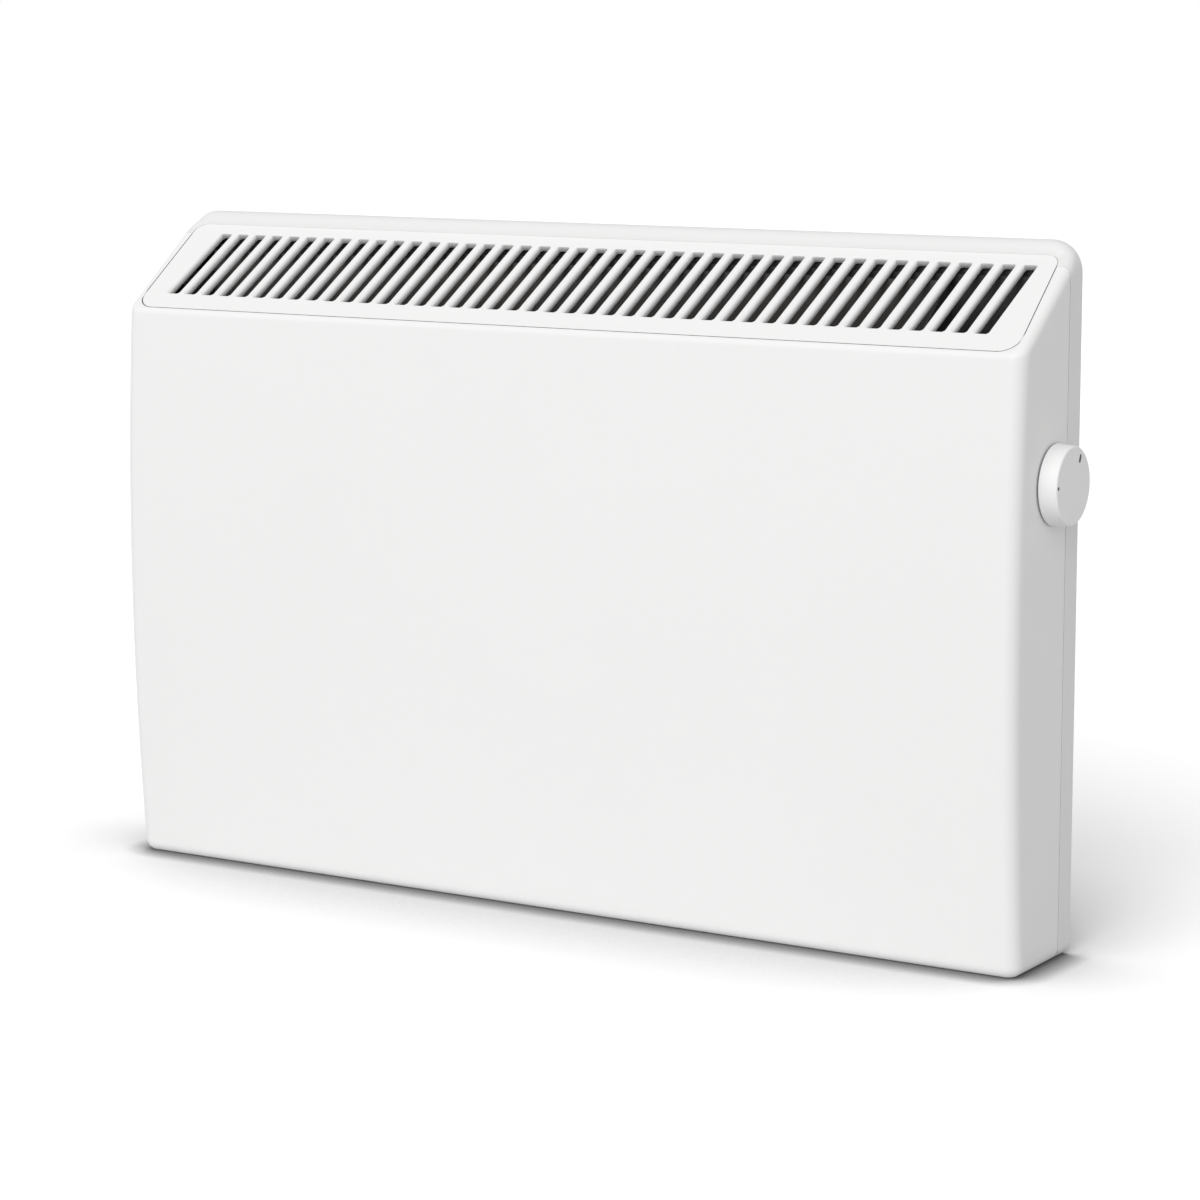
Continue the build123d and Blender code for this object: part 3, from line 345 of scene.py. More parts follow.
class Wiring:
    """The shader nodes of one tree while they are being wired."""

    def __init__(self, tree: bpy.types.NodeTree) -> None:
        """Start from the nodes that the tree has."""
        self.tree = tree

    def node(self, kind: str, inputs: Inputs, **settings: object) -> bpy.types.Node:
        """Add a node.

        Args:
            kind: The node's type, without the words that all types start with.
            inputs: What its inputs take, by name or number: a socket is wired to the
                input, and anything else is set on it.
            settings: The node's own settings.

        Returns:
            The node.
        """
        node = self.tree.nodes.new("ShaderNode" + kind)
        for name, value in settings.items():
            setattr(node, name, value)
        for name, value in inputs.items():
            if isinstance(value, Socket):
                self.tree.links.new(value, node.inputs[name])
            else:
                node.inputs[name].default_value = value
        return node

    def combine(self, operation: str, a: object, b: object) -> Socket:
        """Result of one operation on two sockets or numbers."""
        return self.node("Math", {0: a, 1: b}, operation=operation).outputs["Value"]

    def mix(self, factor: Socket, a: object, b: object) -> Socket:
        """Colour a where the factor is 0, and b where it is 1."""
        inputs = {"Factor": factor, MIX_FIRST: a, MIX_SECOND: b}
        return self.node("Mix", inputs, data_type="RGBA").outputs[MIX_RESULT]


@dataclass(frozen=True)
class Noise:
    """Smooth noise: width of its blobs in millimetres, finer layers, and stretch."""

    grain: float
    detail: float = 2.0
    stretch: Optional[Triple] = None


class Graph(Wiring):
    """The nodes round the Principled shader of a new material."""

    def __init__(self, name: str) -> None:
        """Start a material with an empty Principled shader."""
        self.material = bpy.data.materials.new(name)
        self.material.use_nodes = True
        super().__init__(self.material.node_tree)
        self.shader = self.tree.nodes["Principled BSDF"]
        self.coordinates = self.node("TexCoord", {}).outputs["Object"]

    def set(self, **values: float) -> None:
        """Set constants on the shader's own sockets, named with _ for a space."""
        for name, value in values.items():
            self.shader.inputs[name.replace("_", " ")].default_value = value

    def noise(self, pattern: Noise) -> Socket:
        """Factor of a noise, from 0 to 1."""
        vector = self.coordinates
        if pattern.stretch is not None:
            mapping = self.node("Mapping", {"Vector": vector, "Scale": pattern.stretch})
            vector = mapping.outputs["Vector"]
        scale = 1.0 / (pattern.grain * METRE)
        inputs = {"Vector": vector, "Scale": scale, "Detail": pattern.detail}
        return self.node("TexNoise", inputs).outputs["Fac"]

    def cells(self, size: float) -> Socket:
        """Random value of crystal-like cells ``size`` millimetres wide."""
        inputs = {"Vector": self.coordinates, "Scale": 1.0 / (size * METRE)}
        colour = self.node("TexVoronoi", inputs).outputs["Color"]
        return self.node("SeparateColor", {"Color": colour}).outputs["Red"]

    def ramp(self, factor: Socket, stops: Stops) -> Socket:
        """Colour for a factor, from stops of (place, colour)."""
        node = self.node("ValToRGB", {"Fac": factor})
        elements = node.color_ramp.elements
        while len(elements) < len(stops):
            elements.new(1.0)
        for element, (position, colour) in zip(elements, stops):
            element.position = position
            element.color = (*colour, 1.0)
        return node.outputs["Color"]

    def paint(self, colour: Socket) -> None:
        """Wire the shader's colour."""
        self.tree.links.new(colour, self.shader.inputs["Base Color"])

    def gloss(self, factor: Socket, low: float, high: float) -> None:
        """Spread a noise factor's usual range over the roughness from low to high."""
        inputs = {"Value": factor, "To Min": low, "To Max": high}
        inputs |= {"From Min": NOISE_LOW, "From Max": NOISE_HIGH}
        rough = self.node("MapRange", inputs).outputs["Result"]
        self.tree.links.new(rough, self.shader.inputs["Roughness"])

    def relief(self, height: Socket, depth: float, strength: float) -> None:
        """Let a height pattern of ``depth`` millimetres tilt the shader's normal."""
        inputs = {"Height": height, "Distance": depth * METRE, "Strength": strength}
        normal = self.node("Bump", inputs).outputs["Normal"]
        self.tree.links.new(normal, self.shader.inputs["Normal"])


def shades(colour: Colour, change: float) -> Stops:
    """Ramp stops a little darker and a little lighter than a colour."""
    low = tuple(c * (1.0 - change) for c in colour)
    high = tuple(min(1.0, c * (1.0 + change)) for c in colour)
    return [(DARK_PLACE, low), (LIGHT_PLACE, high)]


@dataclass(frozen=True)
class Finish:
    """A material whose colour, roughness and relief each follow a pattern.

    The colour goes from a darker to a lighter shade, or over to a second colour
    where there is one. Depth is the relief's height in millimetres.
    """

    colour: Colour
    second: Optional[Colour] = None
    places: Pair = (0.35, 0.7)
    change: float = 0.05
    tint: Noise = Noise(14.0)
    patches: Noise = Noise(3.0)
    roughness: Pair = (0.4, 0.6)
    grain: Noise = Noise(0.6)
    depth: float = 0.01
    strength: float = 0.5
    ior: float = 1.5
    specular: float = 0.5
    metallic: float = 0.0

    def tint_factor(self, graph: Graph) -> Socket:
        """The pattern that the colour follows."""
        return graph.noise(self.tint)

    def gloss_factor(self, graph: Graph) -> Socket:
        """The pattern that the roughness follows."""
        return graph.noise(self.patches)

    def relief_factor(self, graph: Graph) -> Socket:
        """The pattern that the relief follows."""
        return graph.noise(self.grain)

    def shade(self, graph: Graph) -> Socket:
        """The finished colour."""
        stops = shades(self.colour, self.change)
        if self.second is not None:
            stops = list(zip(self.places, (self.colour, self.second)))
        return graph.ramp(self.tint_factor(graph), stops)

    def make(self, name: str) -> bpy.types.Material:
        """Make the material under the given name."""
        graph = Graph(name)
        graph.set(IOR=self.ior, Metallic=self.metallic, Specular_IOR_Level=self.specular)
        graph.paint(self.shade(graph))
        graph.gloss(self.gloss_factor(graph), *self.roughness)
        graph.relief(self.relief_factor(graph), self.depth, self.strength)
        return graph.material


@dataclass(frozen=True)
class PowderCoat(Finish):
    """Baked powder paint: even colour, orange peel and a satin gloss."""

    change: float = 0.004
    tint: Noise = Noise(140.0)
    patches: Noise = Noise(35.0)
    roughness: Pair = (0.39, 0.45)
    grain: Noise = Noise(1.6, detail=3.0)
    depth: float = 0.012
    ior: float = 1.48
    specular: float = 0.3


@dataclass(frozen=True)
class LinedPaintWithPaintedShade(PowderCoat):
    """Powder paint on a casing sheet whose inside is black: a black lacquer that is also
    painted shade for the dark inside of the casing.

    The inside is told from the outside by place: it lies in from the casing's
    sides, above its underside, below the slope, and in front of the plate or,
    above the plate's step, in front of the riser and further in. A point lies
    within a half width w where x^2 < w^2.
    """

    # The inside's black: lacquer that is also painted shade.
    lacquer: Colour = LINING_AND_PAINTED_SHADE
    stain: Noise = Noise(18.0)
    stain_change: float = 0.15
    half_width: float = 349.8
    step_half_width: float = 348.95
    floor: float = 1.05
    plate: float = -17.95
    riser: float = -12.5
    step_height: float = 436.5
    slope_height: float = field(kw_only=True)
    slope_rise: float = field(kw_only=True)

    def lining_and_painted_shade(self, graph: Graph) -> Socket:
        """1 where a point belongs to the inside, black as lining and painted shade, and 0
        elsewhere.
        """
        parts = graph.node("SeparateXYZ", {"Vector": graph.coordinates}).outputs
        x, y, z = parts["X"], parts["Y"], parts["Z"]

        def below(value: Socket, limit: float) -> Socket:
            """1 where a value is below a limit."""
            return graph.combine("LESS_THAN", value, limit)

        def above(height: float) -> Socket:
            """1 over a height of the maker's drawing."""
            return graph.combine("GREATER_THAN", z, (height + UNDERSIDE) * METRE)

        def every(*masks: Socket) -> Socket:
            """1 where every mask is 1."""
            return reduce(partial(graph.combine, "MULTIPLY"), masks)

        squared = graph.combine("MULTIPLY", x, x)
        within = below(squared, (self.half_width * METRE) ** 2)
        within_step = below(squared, (self.step_half_width * METRE) ** 2)
        over_step = above(self.step_height)
        under_step = graph.combine("SUBTRACT", 1.0, over_step)
        before_plate = every(below(y, self.plate * METRE), under_step)
        before_riser = every(below(y, self.riser * METRE), over_step, within_step)
        before = graph.combine("MAXIMUM", before_plate, before_riser)
        roof = graph.combine("MULTIPLY", y, self.slope_rise)
        depth = graph.combine("SUBTRACT", z, roof)
        under_slope = below(depth, (self.slope_height + UNDERSIDE) * METRE)
        return every(within, above(self.floor), before, under_slope)

    def shade(self, graph: Graph) -> Socket:
        """White paint outside, and black lacquer inside that is also painted shade."""
        black = graph.ramp(graph.noise(self.stain), shades(self.lacquer, self.stain_change))
        return graph.mix(self.lining_and_painted_shade(graph), super().shade(graph), black)


@dataclass(frozen=True)
class MouldedPlastic(Finish):
    """Injection-moulded plastic with faint flow clouds and a spark-eroded grain."""

    change: float = 0.006
    tint: Noise = Noise(26.0, detail=3.0, stretch=(0.35, 1.0, 1.0))
    patches: Noise = Noise(9.0)
    roughness: Pair = (0.44, 0.52)
    grain: Noise = Noise(0.45)
    depth: float = 0.008
    strength: float = 0.6
    specular: float = 0.3


@dataclass(frozen=True)
class Lacquer(Finish):
    """Thin heat-resistant lacquer, browned in patches, on a sheet's rolling lines."""

    places: Pair = (0.35, 0.75)
    tint: Noise = Noise(60.0, detail=4.0)
    patches: Noise = Noise(12.0)
    roughness: Pair = (0.55, 0.72)
    grain: Noise = Noise(3.0, detail=3.0, stretch=(0.1, 1.0, 1.0))
    ior: float = 1.45


@dataclass(frozen=True)
class ZincSheet(Finish):
    """Hot-dipped zinc: spangles the size of a finger nail shift colour and gloss."""

    spangle: float = 11.0
    change: float = 0.09
    roughness: Pair = (0.34, 0.48)
    grain: Noise = Noise(1.2, detail=4.0)
    strength: float = 0.4
    metallic: float = 0.9

    def tint_factor(self, graph: Graph) -> Socket:
        """The spangles."""
        return graph.cells(self.spangle)

    def gloss_factor(self, graph: Graph) -> Socket:
        """The same spangles."""
        return graph.cells(self.spangle)


@dataclass(frozen=True)
class WorkedMetal(Finish):
    """Drawn, turned or extruded metal: lines along its working in gloss and height."""

    tint: Noise = Noise(14.0, detail=3.0)
    grain: Noise = Noise(0.6, detail=3.0)
    lines: Triple = field(kw_only=True)
    depth: float = 0.012
    metallic: float = 1.0

    def relief_factor(self, graph: Graph) -> Socket:
        """The lines."""
        return graph.noise(replace(self.grain, stretch=self.lines))

    def gloss_factor(self, graph: Graph) -> Socket:
        """The same lines."""
        return self.relief_factor(graph)


@dataclass(frozen=True)
class Ceramic(Finish):
    """Unglazed ceramic with fine specks."""

    tint: Noise = Noise(0.8, detail=5.0)
    patches: Noise = Noise(2.0)
    roughness: Pair = (0.66, 0.8)
    grain: Noise = Noise(0.5, detail=3.0)
    depth: float = 0.03
    strength: float = 0.6
    ior: float = 1.55


@dataclass(frozen=True)
class Silicone(Finish):
    """Matt wire insulation, striped where it has a second colour."""

    places: Pair = (0.45, 0.55)
    change: float = 0.08
    tint: Noise = Noise(4.0, detail=3.0)
    stripes: float = 90.0
    wobble: float = 0.4
    roughness: Pair = (0.5, 0.66)
    strength: float = 0.4
    ior: float = 1.41

    def tint_factor(self, graph: Graph) -> Socket:
        """Slanting stripes, or a trace of dust."""
        if self.second is None:
            return super().tint_factor(graph)
        inputs = {"Vector": graph.coordinates, "Scale": self.stripes}
        inputs["Distortion"] = self.wobble
        return graph.node("TexWave", inputs, bands_direction="DIAGONAL").outputs["Fac"]


class Finishes:
    """All materials of the heater, each made once and shared."""

    def __init__(self) -> None:
        """Prepare an empty store."""
        self.made: dict[str, bpy.types.Material] = {}

    def get(self, name: str, finish: Finish) -> bpy.types.Material:
        """The material under a name, made on its first use."""
        if name not in self.made:
            self.made[name] = finish.make(name)
        return self.made[name]

    def dress(self, piece: bpy.types.Object, *wanted: tuple[str, Finish]) -> None:
        """Replace a piece's materials by the given finishes, in order."""
        mesh = piece.data
        indices = np.zeros(len(mesh.polygons), np.int32)
        mesh.polygons.foreach_get("material_index", indices)
        mesh.materials.clear()
        for name, finish in wanted:
            mesh.materials.append(self.get(name, finish))
        mesh.polygons.foreach_set("material_index", np.minimum(indices, len(wanted) - 1))


# Black on insides, the cover's recess, the grille's rim wall, back and lugs: partly lining,
# partly painted shade.
BLACK_LINING_AND_PAINTED_SHADE = ("lining_and_painted_shade", Lacquer(LINING_AND_PAINTED_SHADE, WARM_LINING_AND_PAINTED_SHADE))
WHITE_PLASTIC = ("grille_plastic", MouldedPlastic(WHITE))


# ---------------------------------------------------------------------------- casing


@dataclass(frozen=True)
class Casing:
    """Outside sizes of the heater's casing."""

    half_width: float = 350.0
    foot_depth: float = 80.0
    belly_depth: float = 90.93
    shoulder_depth: float = 84.5
    shoulder_height: float = 394.0
    rim_depth: float = 10.0
    rim_foot_height: float = 451.0
    corner_radius: float = 10.5
    bottom_radius: float = 8.0
    slope_radius: float = 6.0
    cover_edge: float = -18.6

    @property
    def run(self) -> float:
        """How far the slope goes back."""
        return self.shoulder_depth - self.rim_depth

    @property
    def rise(self) -> float:
        """How far the slope goes up."""
        return self.rim_foot_height - self.shoulder_height

    @property
    def uphill(self) -> Points:
        """Unit direction up the slope."""
        return unit(np.array([0.0, self.run, self.rise]))

    @property
    def slope_normal(self) -> Points:
        """Unit direction out of the slope."""
        return np.cross(ACROSS, self.uphill)

    @property
    def slope_origin(self) -> Points:
        """Middle of the slope's lower edge."""
        return np.array([0.0, -self.shoulder_depth, self.shoulder_height])

    def bow(self, height: Points) -> tuple[Points, Points]:
        """Depth of the bowed front and its change with height.

        The front is one arc through foot, belly and shoulder. With centre (d0, z0)
        and radius R the depth is d0 + sqrt(R^2 - (z - z0)^2), and its change per
        millimetre of height is -(z - z0) / sqrt(R^2 - (z - z0)^2).

        Args:
            height: Heights z above the underside.

        Returns:
            Depth from the wall, and its change per millimetre of height.
        """
        depths = np.array([self.foot_depth, self.belly_depth, self.shoulder_depth])
        heights = np.array([0.0, self.shoulder_height / 2, self.shoulder_height])
        squares = depths**2 + heights**2
        system = 2 * np.stack([depths[1:] - depths[0], heights[1:] - heights[0]], -1)
        centre = np.linalg.solve(system, squares[1:] - squares[0])
        radius = math.hypot(depths[0] - centre[0], heights[0] - centre[1])
        root = np.sqrt(radius**2 - (height - centre[1]) ** 2)
        return centre[0] + root, -(height - centre[1]) / root

    def on_slope(self, x: Points, up: Points, out: Points) -> Points:
        """Points given by x, the way up the slope and the height over it."""
        x, up, out = (part[..., None] for part in np.broadcast_arrays(x, up, out))
        in_plane = self.slope_origin + x * ACROSS + up * self.uphill
        return in_plane + out * self.slope_normal


@dataclass(frozen=True)
class PanelOutline:
    """The outlet grille's outline on the slope, a trapezium with round corners."""

    bottom: float = 3.4
    top: float = 93.1
    bottom_half: float = 343.2
    top_half: float = 339.8
    bottom_corner: float = 13.0
    top_corner: float = 9.0

    @property
    def slant(self) -> float:
        """How much the sides close in per millimetre up the slope."""
        return (self.bottom_half - self.top_half) / (self.top - self.bottom)

    @property
    def side_normal(self) -> Points:
        """Unit direction out of the right-hand side."""
        return unit(np.array([1.0, self.slant]))

    def side(self, up: Points | float, offset: float) -> Points:
        """x of the right-hand side at a way up the slope, moved outwards by an offset."""
        moved = offset / self.side_normal[0]
        return self.bottom_half - self.slant * (up - self.bottom) + moved

    def corner_centre(self, at_top: bool) -> Points:
        """Centre of the right-hand corner's arc."""
        radius = self.top_corner if at_top else self.bottom_corner
        up = self.top - radius if at_top else self.bottom + radius
        return np.array([self.side(up, -radius), up])

    def nearest(self, x: Points, up: Points, offset: float) -> tuple[Points, Points]:
        """Points of the outline facing points outside its right half.

        A point beside the straight side keeps its way up the slope, one below the
        bottom keeps its x, and one at the corner goes to the arc along the line to
        the arc's centre.

        Args:
            x: Places along the heater, all at least 0.
            up: Places up the slope.
            offset: Distance that the outline is grown.

        Returns:
            Points on the grown outline and unit directions out of it, as (x, up).
        """
        centre = self.corner_centre(at_top=False)
        radius = self.bottom_corner + offset
        away = stacked(x, up) - centre
        direction = unit(away)
        on_arc = centre + radius * direction
        heading = np.arctan2(away[..., 1], away[..., 0])
        beside = (heading >= math.atan(self.slant))[..., None]
        below = (x < centre[0])[..., None]
        side = stacked(self.side(up, offset), up)
        flat = stacked(x, self.bottom - offset)
        downhill = np.array([0.0, -1.0])
        points = np.where(beside, side, np.where(below, flat, on_arc))
        normals = np.where(beside, self.side_normal, np.where(below, downhill, direction))
        return points, normals


@dataclass(frozen=True)
class FrontCover:
    """Pressed steel cover: bowed front, slope with the grille's recess, inlet opening."""

    casing: Casing = Casing()
    outline: PanelOutline = PanelOutline(bottom=3.65)
    sheet: float = 1.0
    recess_gap: float = 0.6
    recess_depth: float = 2.5
    ledge: float = 8.4
    recess_edge: float = 0.15
    painted_shade_rows: int = 3
    inlet_half: float = 318.0
    inlet_front: float = -66.0
    inlet_back: float = -26.0
    spindle_y: float = -37.0
    spindle_z: float = 310.0
    spindle_hole: float = 4.5
    hole_room: float = 1.6
    hole_columns: tuple[int, int] = (3, 5)
    side_shares: tuple[float, ...] = (
        0.0, 0.075, 0.15, 0.2, 0.315, 0.43, 0.55, 0.7, 0.84, 0.9634, 1.0,
    )
    corner_steps: int = 20
    near_steps: int = 8
    front_steps: int = 12
    arc_steps: int = 10
    wall_steps: int = 50
    wall_margin: float = 0.004
    foot_rounds: int = 6
    shoulder_rounds: int = 12
    strip_slack: float = 0.5
    edge_inset: float = 1.5
    edge_width: float = 10.5
    edge_front: float = -19.0
    edge_back: float = -18.0
    edge_top: float = 443.2
    edge_top_radius: float = 4.9
    edge_steps: int = 8

    def columns(self) -> tuple[Points, Points]:
        """Angle round the corner and place of the corner's centre, one per column.

        Columns go round the right-hand corner, from 0 where it meets the side to a
        right angle where it meets the front, and then along the front to the middle.
        """
        radius = self.casing.corner_radius
        corner = np.linspace(0.0, math.pi / 2, self.corner_steps + 1)
        centre = self.casing.half_width - radius
        near = np.linspace(centre, self.inlet_half, self.near_steps + 1)[1:]
        far = np.linspace(self.inlet_half, 0.0, self.front_steps + 1)[1:]
        front = np.concatenate([near, far])
        angle = np.concatenate([corner, np.full(len(front), math.pi / 2)])
        x = np.concatenate([np.full(len(corner), centre), front])
        return angle, x

    def wall(self, height: Points) -> tuple[Points, Points]:
        """Points and outward normals of the upright wall.

        At angle a round the corner of radius r, and with the front at depth d(z),
        the point is (c + r cos a, -(d - r) - r sin a, z). Its normal is along
        (cos a, -sin a, -d' sin a).

        Args:
            height: Heights, in any shape that ends in one value per column.

        Returns:
            Points and unit normals.
        """
        angle, x = self.columns()
        depth, lean = self.casing.bow(height)
        radius = self.casing.corner_radius
        cos_a, sin_a = np.cos(angle), np.sin(angle)
        front = -(depth - radius) - radius * sin_a
        points = stacked(x + radius * cos_a, front, height)
        return points, unit(stacked(cos_a, -sin_a, -sin_a * lean))

    def fillet(self, height: Points, radius: float, end: Points) -> Points:
        """Arcs of a ball that touches the wall from inside.

        The ball's centre is p - r n, with the wall's point p and normal n, and its
        arc runs from n to another direction.

        Args:
            height: Height of the wall's point, one per column.
            radius: The ball's radius r.
            end: The direction where the arcs end.

        Returns:
            Points in rows by columns, from the wall on.
        """
        points, normals = self.wall(height)
        share = np.linspace(0.0, 1.0, self.arc_steps + 1)
        return points - radius * normals + radius * turned(normals, end, share)

    def foot(self) -> tuple[Points, Points]:
        """Heights where the bottom fillet leaves the wall, and the fillet's points.

        A ball of the fillet's radius r lies on the underside and against the wall,
        so its centre is at height r, and the wall is touched at z = r + r n_z. The
        fillet is the ball's arc from straight down to the wall's normal n.
        """
        radius = self.casing.bottom_radius
        height = np.full(len(self.columns()[0]), radius)
        for _ in range(self.foot_rounds):
            height = radius + radius * self.wall(height)[1][:, 2]
        return height, self.fillet(height, radius, DOWN)[::-1]

    def shoulder(self) -> tuple[Points, Points]:
        """Heights where the slope's fillet leaves the wall, and the fillet's points.

        A ball of radius r touches the wall and the slope from inside. The wall's
        point p(z) with normal n is right when p - r n lies r below the slope, which
        a few Newton steps find. The fillet is the ball's arc from n to the slope's
        normal.
        """
        radius = self.casing.slope_radius
        out = self.casing.slope_normal
        height = np.full(len(self.columns()[0]), self.casing.shoulder_height - radius)
        for _ in range(self.shoulder_rounds):
            points, normals = self.wall(height)
            gap = (points - radius * normals - self.casing.slope_origin) @ out + radius
            height = height - gap / out[2]
        return height, self.fillet(height, radius, out)

    def upright(self) -> tuple[Points, int, int]:
        """Rows from the foot's fillet up to the slope, for the corner and the front.

        Returns:
            Points in rows by columns, and the wall's first and last row.
        """
        low, foot = self.foot()
        high, shoulder = self.shoulder()
        share = np.linspace(0.0, 1.0, self.wall_steps + 1)[:, None]
        share = np.clip(share, self.wall_margin, 1.0 - self.wall_margin)
        wall = self.wall(low + share * (high - low))[0]
        first = len(foot) - 1
        return np.concatenate([foot, wall, shoulder]), first, first + len(wall) + 1

    def side(self, upright: Points, first: int, last: int) -> Points:
        """Columns of the flat side, from the seam up to the corner.

        Every row of the side is straight. A column at share f stands at
        y = seam + f (y1 - seam), where y1 belongs to the corner's first column. Up
        to the wall's foot the row only moves along y, in the fillet under the slope
        it moves along the slope, and between them the wall's heights are shared out
        again.

        Args:
            upright: Rows by columns of the corner and the front.
            first: The wall's first row.
            last: The wall's last row.

        Returns:
            Points in rows by the side's columns, without the corner's first one.
        """
        corner_x, corner_y, corner_z = (upright[:, :1, axis] for axis in range(3))
        share = np.array(self.side_shares[:-1])
        y = self.casing.cover_edge + share * (corner_y - self.casing.cover_edge)
        z = np.repeat(corner_z, len(share), axis=1)
        climb = self.casing.rise / self.casing.run
        z[last:] += (y - corner_y)[last:] * climb
        wall = corner_z[first : last + 1]
        height_share = (wall - wall[0]) / (wall[-1] - wall[0])
        z[first : last + 1] = wall[0] + height_share * (z[last] - wall[0])
        return stacked(corner_x, y, z)

    def recess(self, edge: Points) -> Points:
        """Rows from the slope over the recess's edge, down its wall and along its ledge.

        Beside the straight part of the side the rows are stretched uphill, so that
        each ends in the seam's plane.

        Args:
            edge: Points where the fillet meets the slope, one per column.

        Returns:
            Points in rows by columns.
        """
        relative = edge - self.casing.slope_origin
        up = relative @ self.casing.uphill
        points, normals = self.outline.nearest(relative[:, 0], up, self.recess_gap)
        r, depth = self.recess_edge, self.recess_depth
        middle = ROUND_MIDDLE * r
        steps = np.array([
            (r, 0.0), (middle, -middle), (0.0, -r),
            (0.0, r - depth), (-r, -depth), (-self.ledge, -depth),
        ])
        offset, out = steps[:, :1], steps[:, 1:]
        x = points[:, 0] + offset * normals[:, 0]
        way = points[:, 1] + offset * normals[:, 1]
        y = self.casing.on_slope(x, way, out)[..., 1]
        straight = self.outline.corner_centre(at_top=False)[1]
        weight = (points[:, 1] - straight) / (points[0, 1] - straight)
        weight = np.clip(weight, 0.0, 1.0)
        shift = weight * (self.casing.cover_edge - y[:, :1]) / self.casing.uphill[1]
        x = np.where(weight > 0, x - self.outline.slant * shift, x)
        return self.casing.on_slope(x, way + shift, out)

    def underside(self, foot: Points) -> Points:
        """Row on the inlet opening's edge, each point the nearest to a foot point."""
        x = np.minimum(foot[:, 0], self.inlet_half)
        y = np.maximum(foot[:, 1], self.inlet_front)
        return stacked(x, y, 0.0)[None]

    def outside(self) -> Points:
        """The right half of the cover's outside.

        Returns:
            Points in rows by columns, from the side's seam to the middle of the front.
        """
        upright, first, last = self.upright()
        sides = self.side(upright, first, last)
        grid = np.concatenate([sides, upright], axis=1)
        return np.concatenate([self.underside(grid[0]), grid, self.recess(grid[-1])])

    def sheet_mesh(self) -> bpy.types.Mesh:
        """The cover's outside as an open sheet, with the spindle's hole."""
        half = self.outside()
        grid = np.concatenate([half, half[:, -2::-1] * MIRROR_X], axis=1)
        rows, columns = grid.shape[:2]
        faces = grid_faces(rows, columns).reshape(rows - 1, columns - 1, 4)
        left, right = self.hole_columns
        away = np.abs(grid[:, (left + right) // 2, 2] - self.spindle_z)
        beside_hole = np.flatnonzero(away < self.hole_room * self.spindle_hole)
        low, high = beside_hole[0] - 1, beside_hole[-1] + 1
        keep = np.ones(faces.shape[:2], bool)
        keep[low:high, left:right] = False
        finish = np.zeros(faces.shape[:2], int)
        # The recess's wall and ledge take the black: painted shade in the gap round the grille.
        finish[-self.painted_shade_rows :] = 1
        shell = Shell()
        shell.add(grid, faces[keep], finish[keep])
        block = grid[low : high + 1, left : right + 1]
        shell.add_grid(self.hole_ring(block), closed=True)
        shell.add_grid(self.rear_strip(grid[0]))
        return shell.mesh("front_cover_sheet", outward=False)

    def hole_ring(self, block: Points) -> Points:
        """Ring between the rim of a block of the side wall and the spindle's hole.

        Each point of the block's rim is joined to the point of the circle in the
        same direction from the hole's centre.

        Args:
            block: Points of the block in rows by columns.

        Returns:
            Two rows of points, on the rim and on the circle.
        """
        sides = [block[0, :-1], block[:-1, -1], block[-1, :0:-1], block[:0:-1, 0]]
        rim = np.concatenate(sides)
        centre = np.array([self.casing.half_width, self.spindle_y, self.spindle_z])
        circle = centre + self.spindle_hole * unit(rim - centre)
        return np.stack([rim, circle])[:, ::-1]

    def rear_strip(self, edge: Points) -> Points:
        """Flat strip of the underside behind the inlet opening, from left to right."""
        right = edge[: len(self.side_shares)]
        right = right[right[:, 1] >= self.inlet_back - self.strip_slack]
        return np.stack([right, right * MIRROR_X], 1)

    def turned_edge(self) -> bpy.types.Mesh:
        """The cover's edge turned inwards at the seam: a flat band down, along and up.

        Its outer line is the casing's outline, inset, with round corners below and
        above. The inner line has square corners. The band is a box section carried
        along both lines.
        """
        inset = self.edge_inset
        reach = self.casing.half_width - inset
        radius = self.casing.bottom_radius - inset
        corner_centre = (reach - radius, inset + radius)
        corner = arc(corner_centre, radius, 0.0, -90.0, self.edge_steps)
        top, crown_radius = self.edge_top, self.edge_top_radius
        crown_centre = (reach - crown_radius, top - crown_radius)
        crown = arc(crown_centre, crown_radius, 90.0, 0.0, self.edge_steps)
        inner_x, inner_z = reach - self.edge_width, inset + self.edge_width
        outer = np.concatenate([[[inner_x, top]], crown, corner])
        inner = np.tile([inner_x, inner_z], (len(outer), 1))
        inner[: len(crown) + 1, 1] = top - crown_radius
        front, back = self.edge_front, self.edge_back
        section = [(outer, front), (outer, back), (inner, back), (inner, front)]
        right = np.stack([stacked(line[:, 0], y, line[:, 1]) for line, y in section], 1)
        shell = Shell()
        shell.add_tube(np.concatenate([right, right[::-1] * MIRROR_X]))
        return shell.mesh("front_cover_edge")

    def build(self, finishes: Finishes) -> bpy.types.Object:
        """Make the cover and dress it: white outside, black inside as lining and painted shade.
        """
        # The sheet's inside takes the black: a lining that is also painted shade for the dark
        # inside of the casing.
        sheet = thickened(self.sheet_mesh(), self.sheet, inner_finish=1)
        mesh = joined("front_cover_skin", [sheet, self.turned_edge()])
        piece = place(mesh, "front_cover_skin")
        finishes.dress(piece, ("cover_powder_coat", PowderCoat(WHITE)), BLACK_LINING_AND_PAINTED_SHADE)
        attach(piece, Body.HEATER.value)
        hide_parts("front_cover")
        return piece


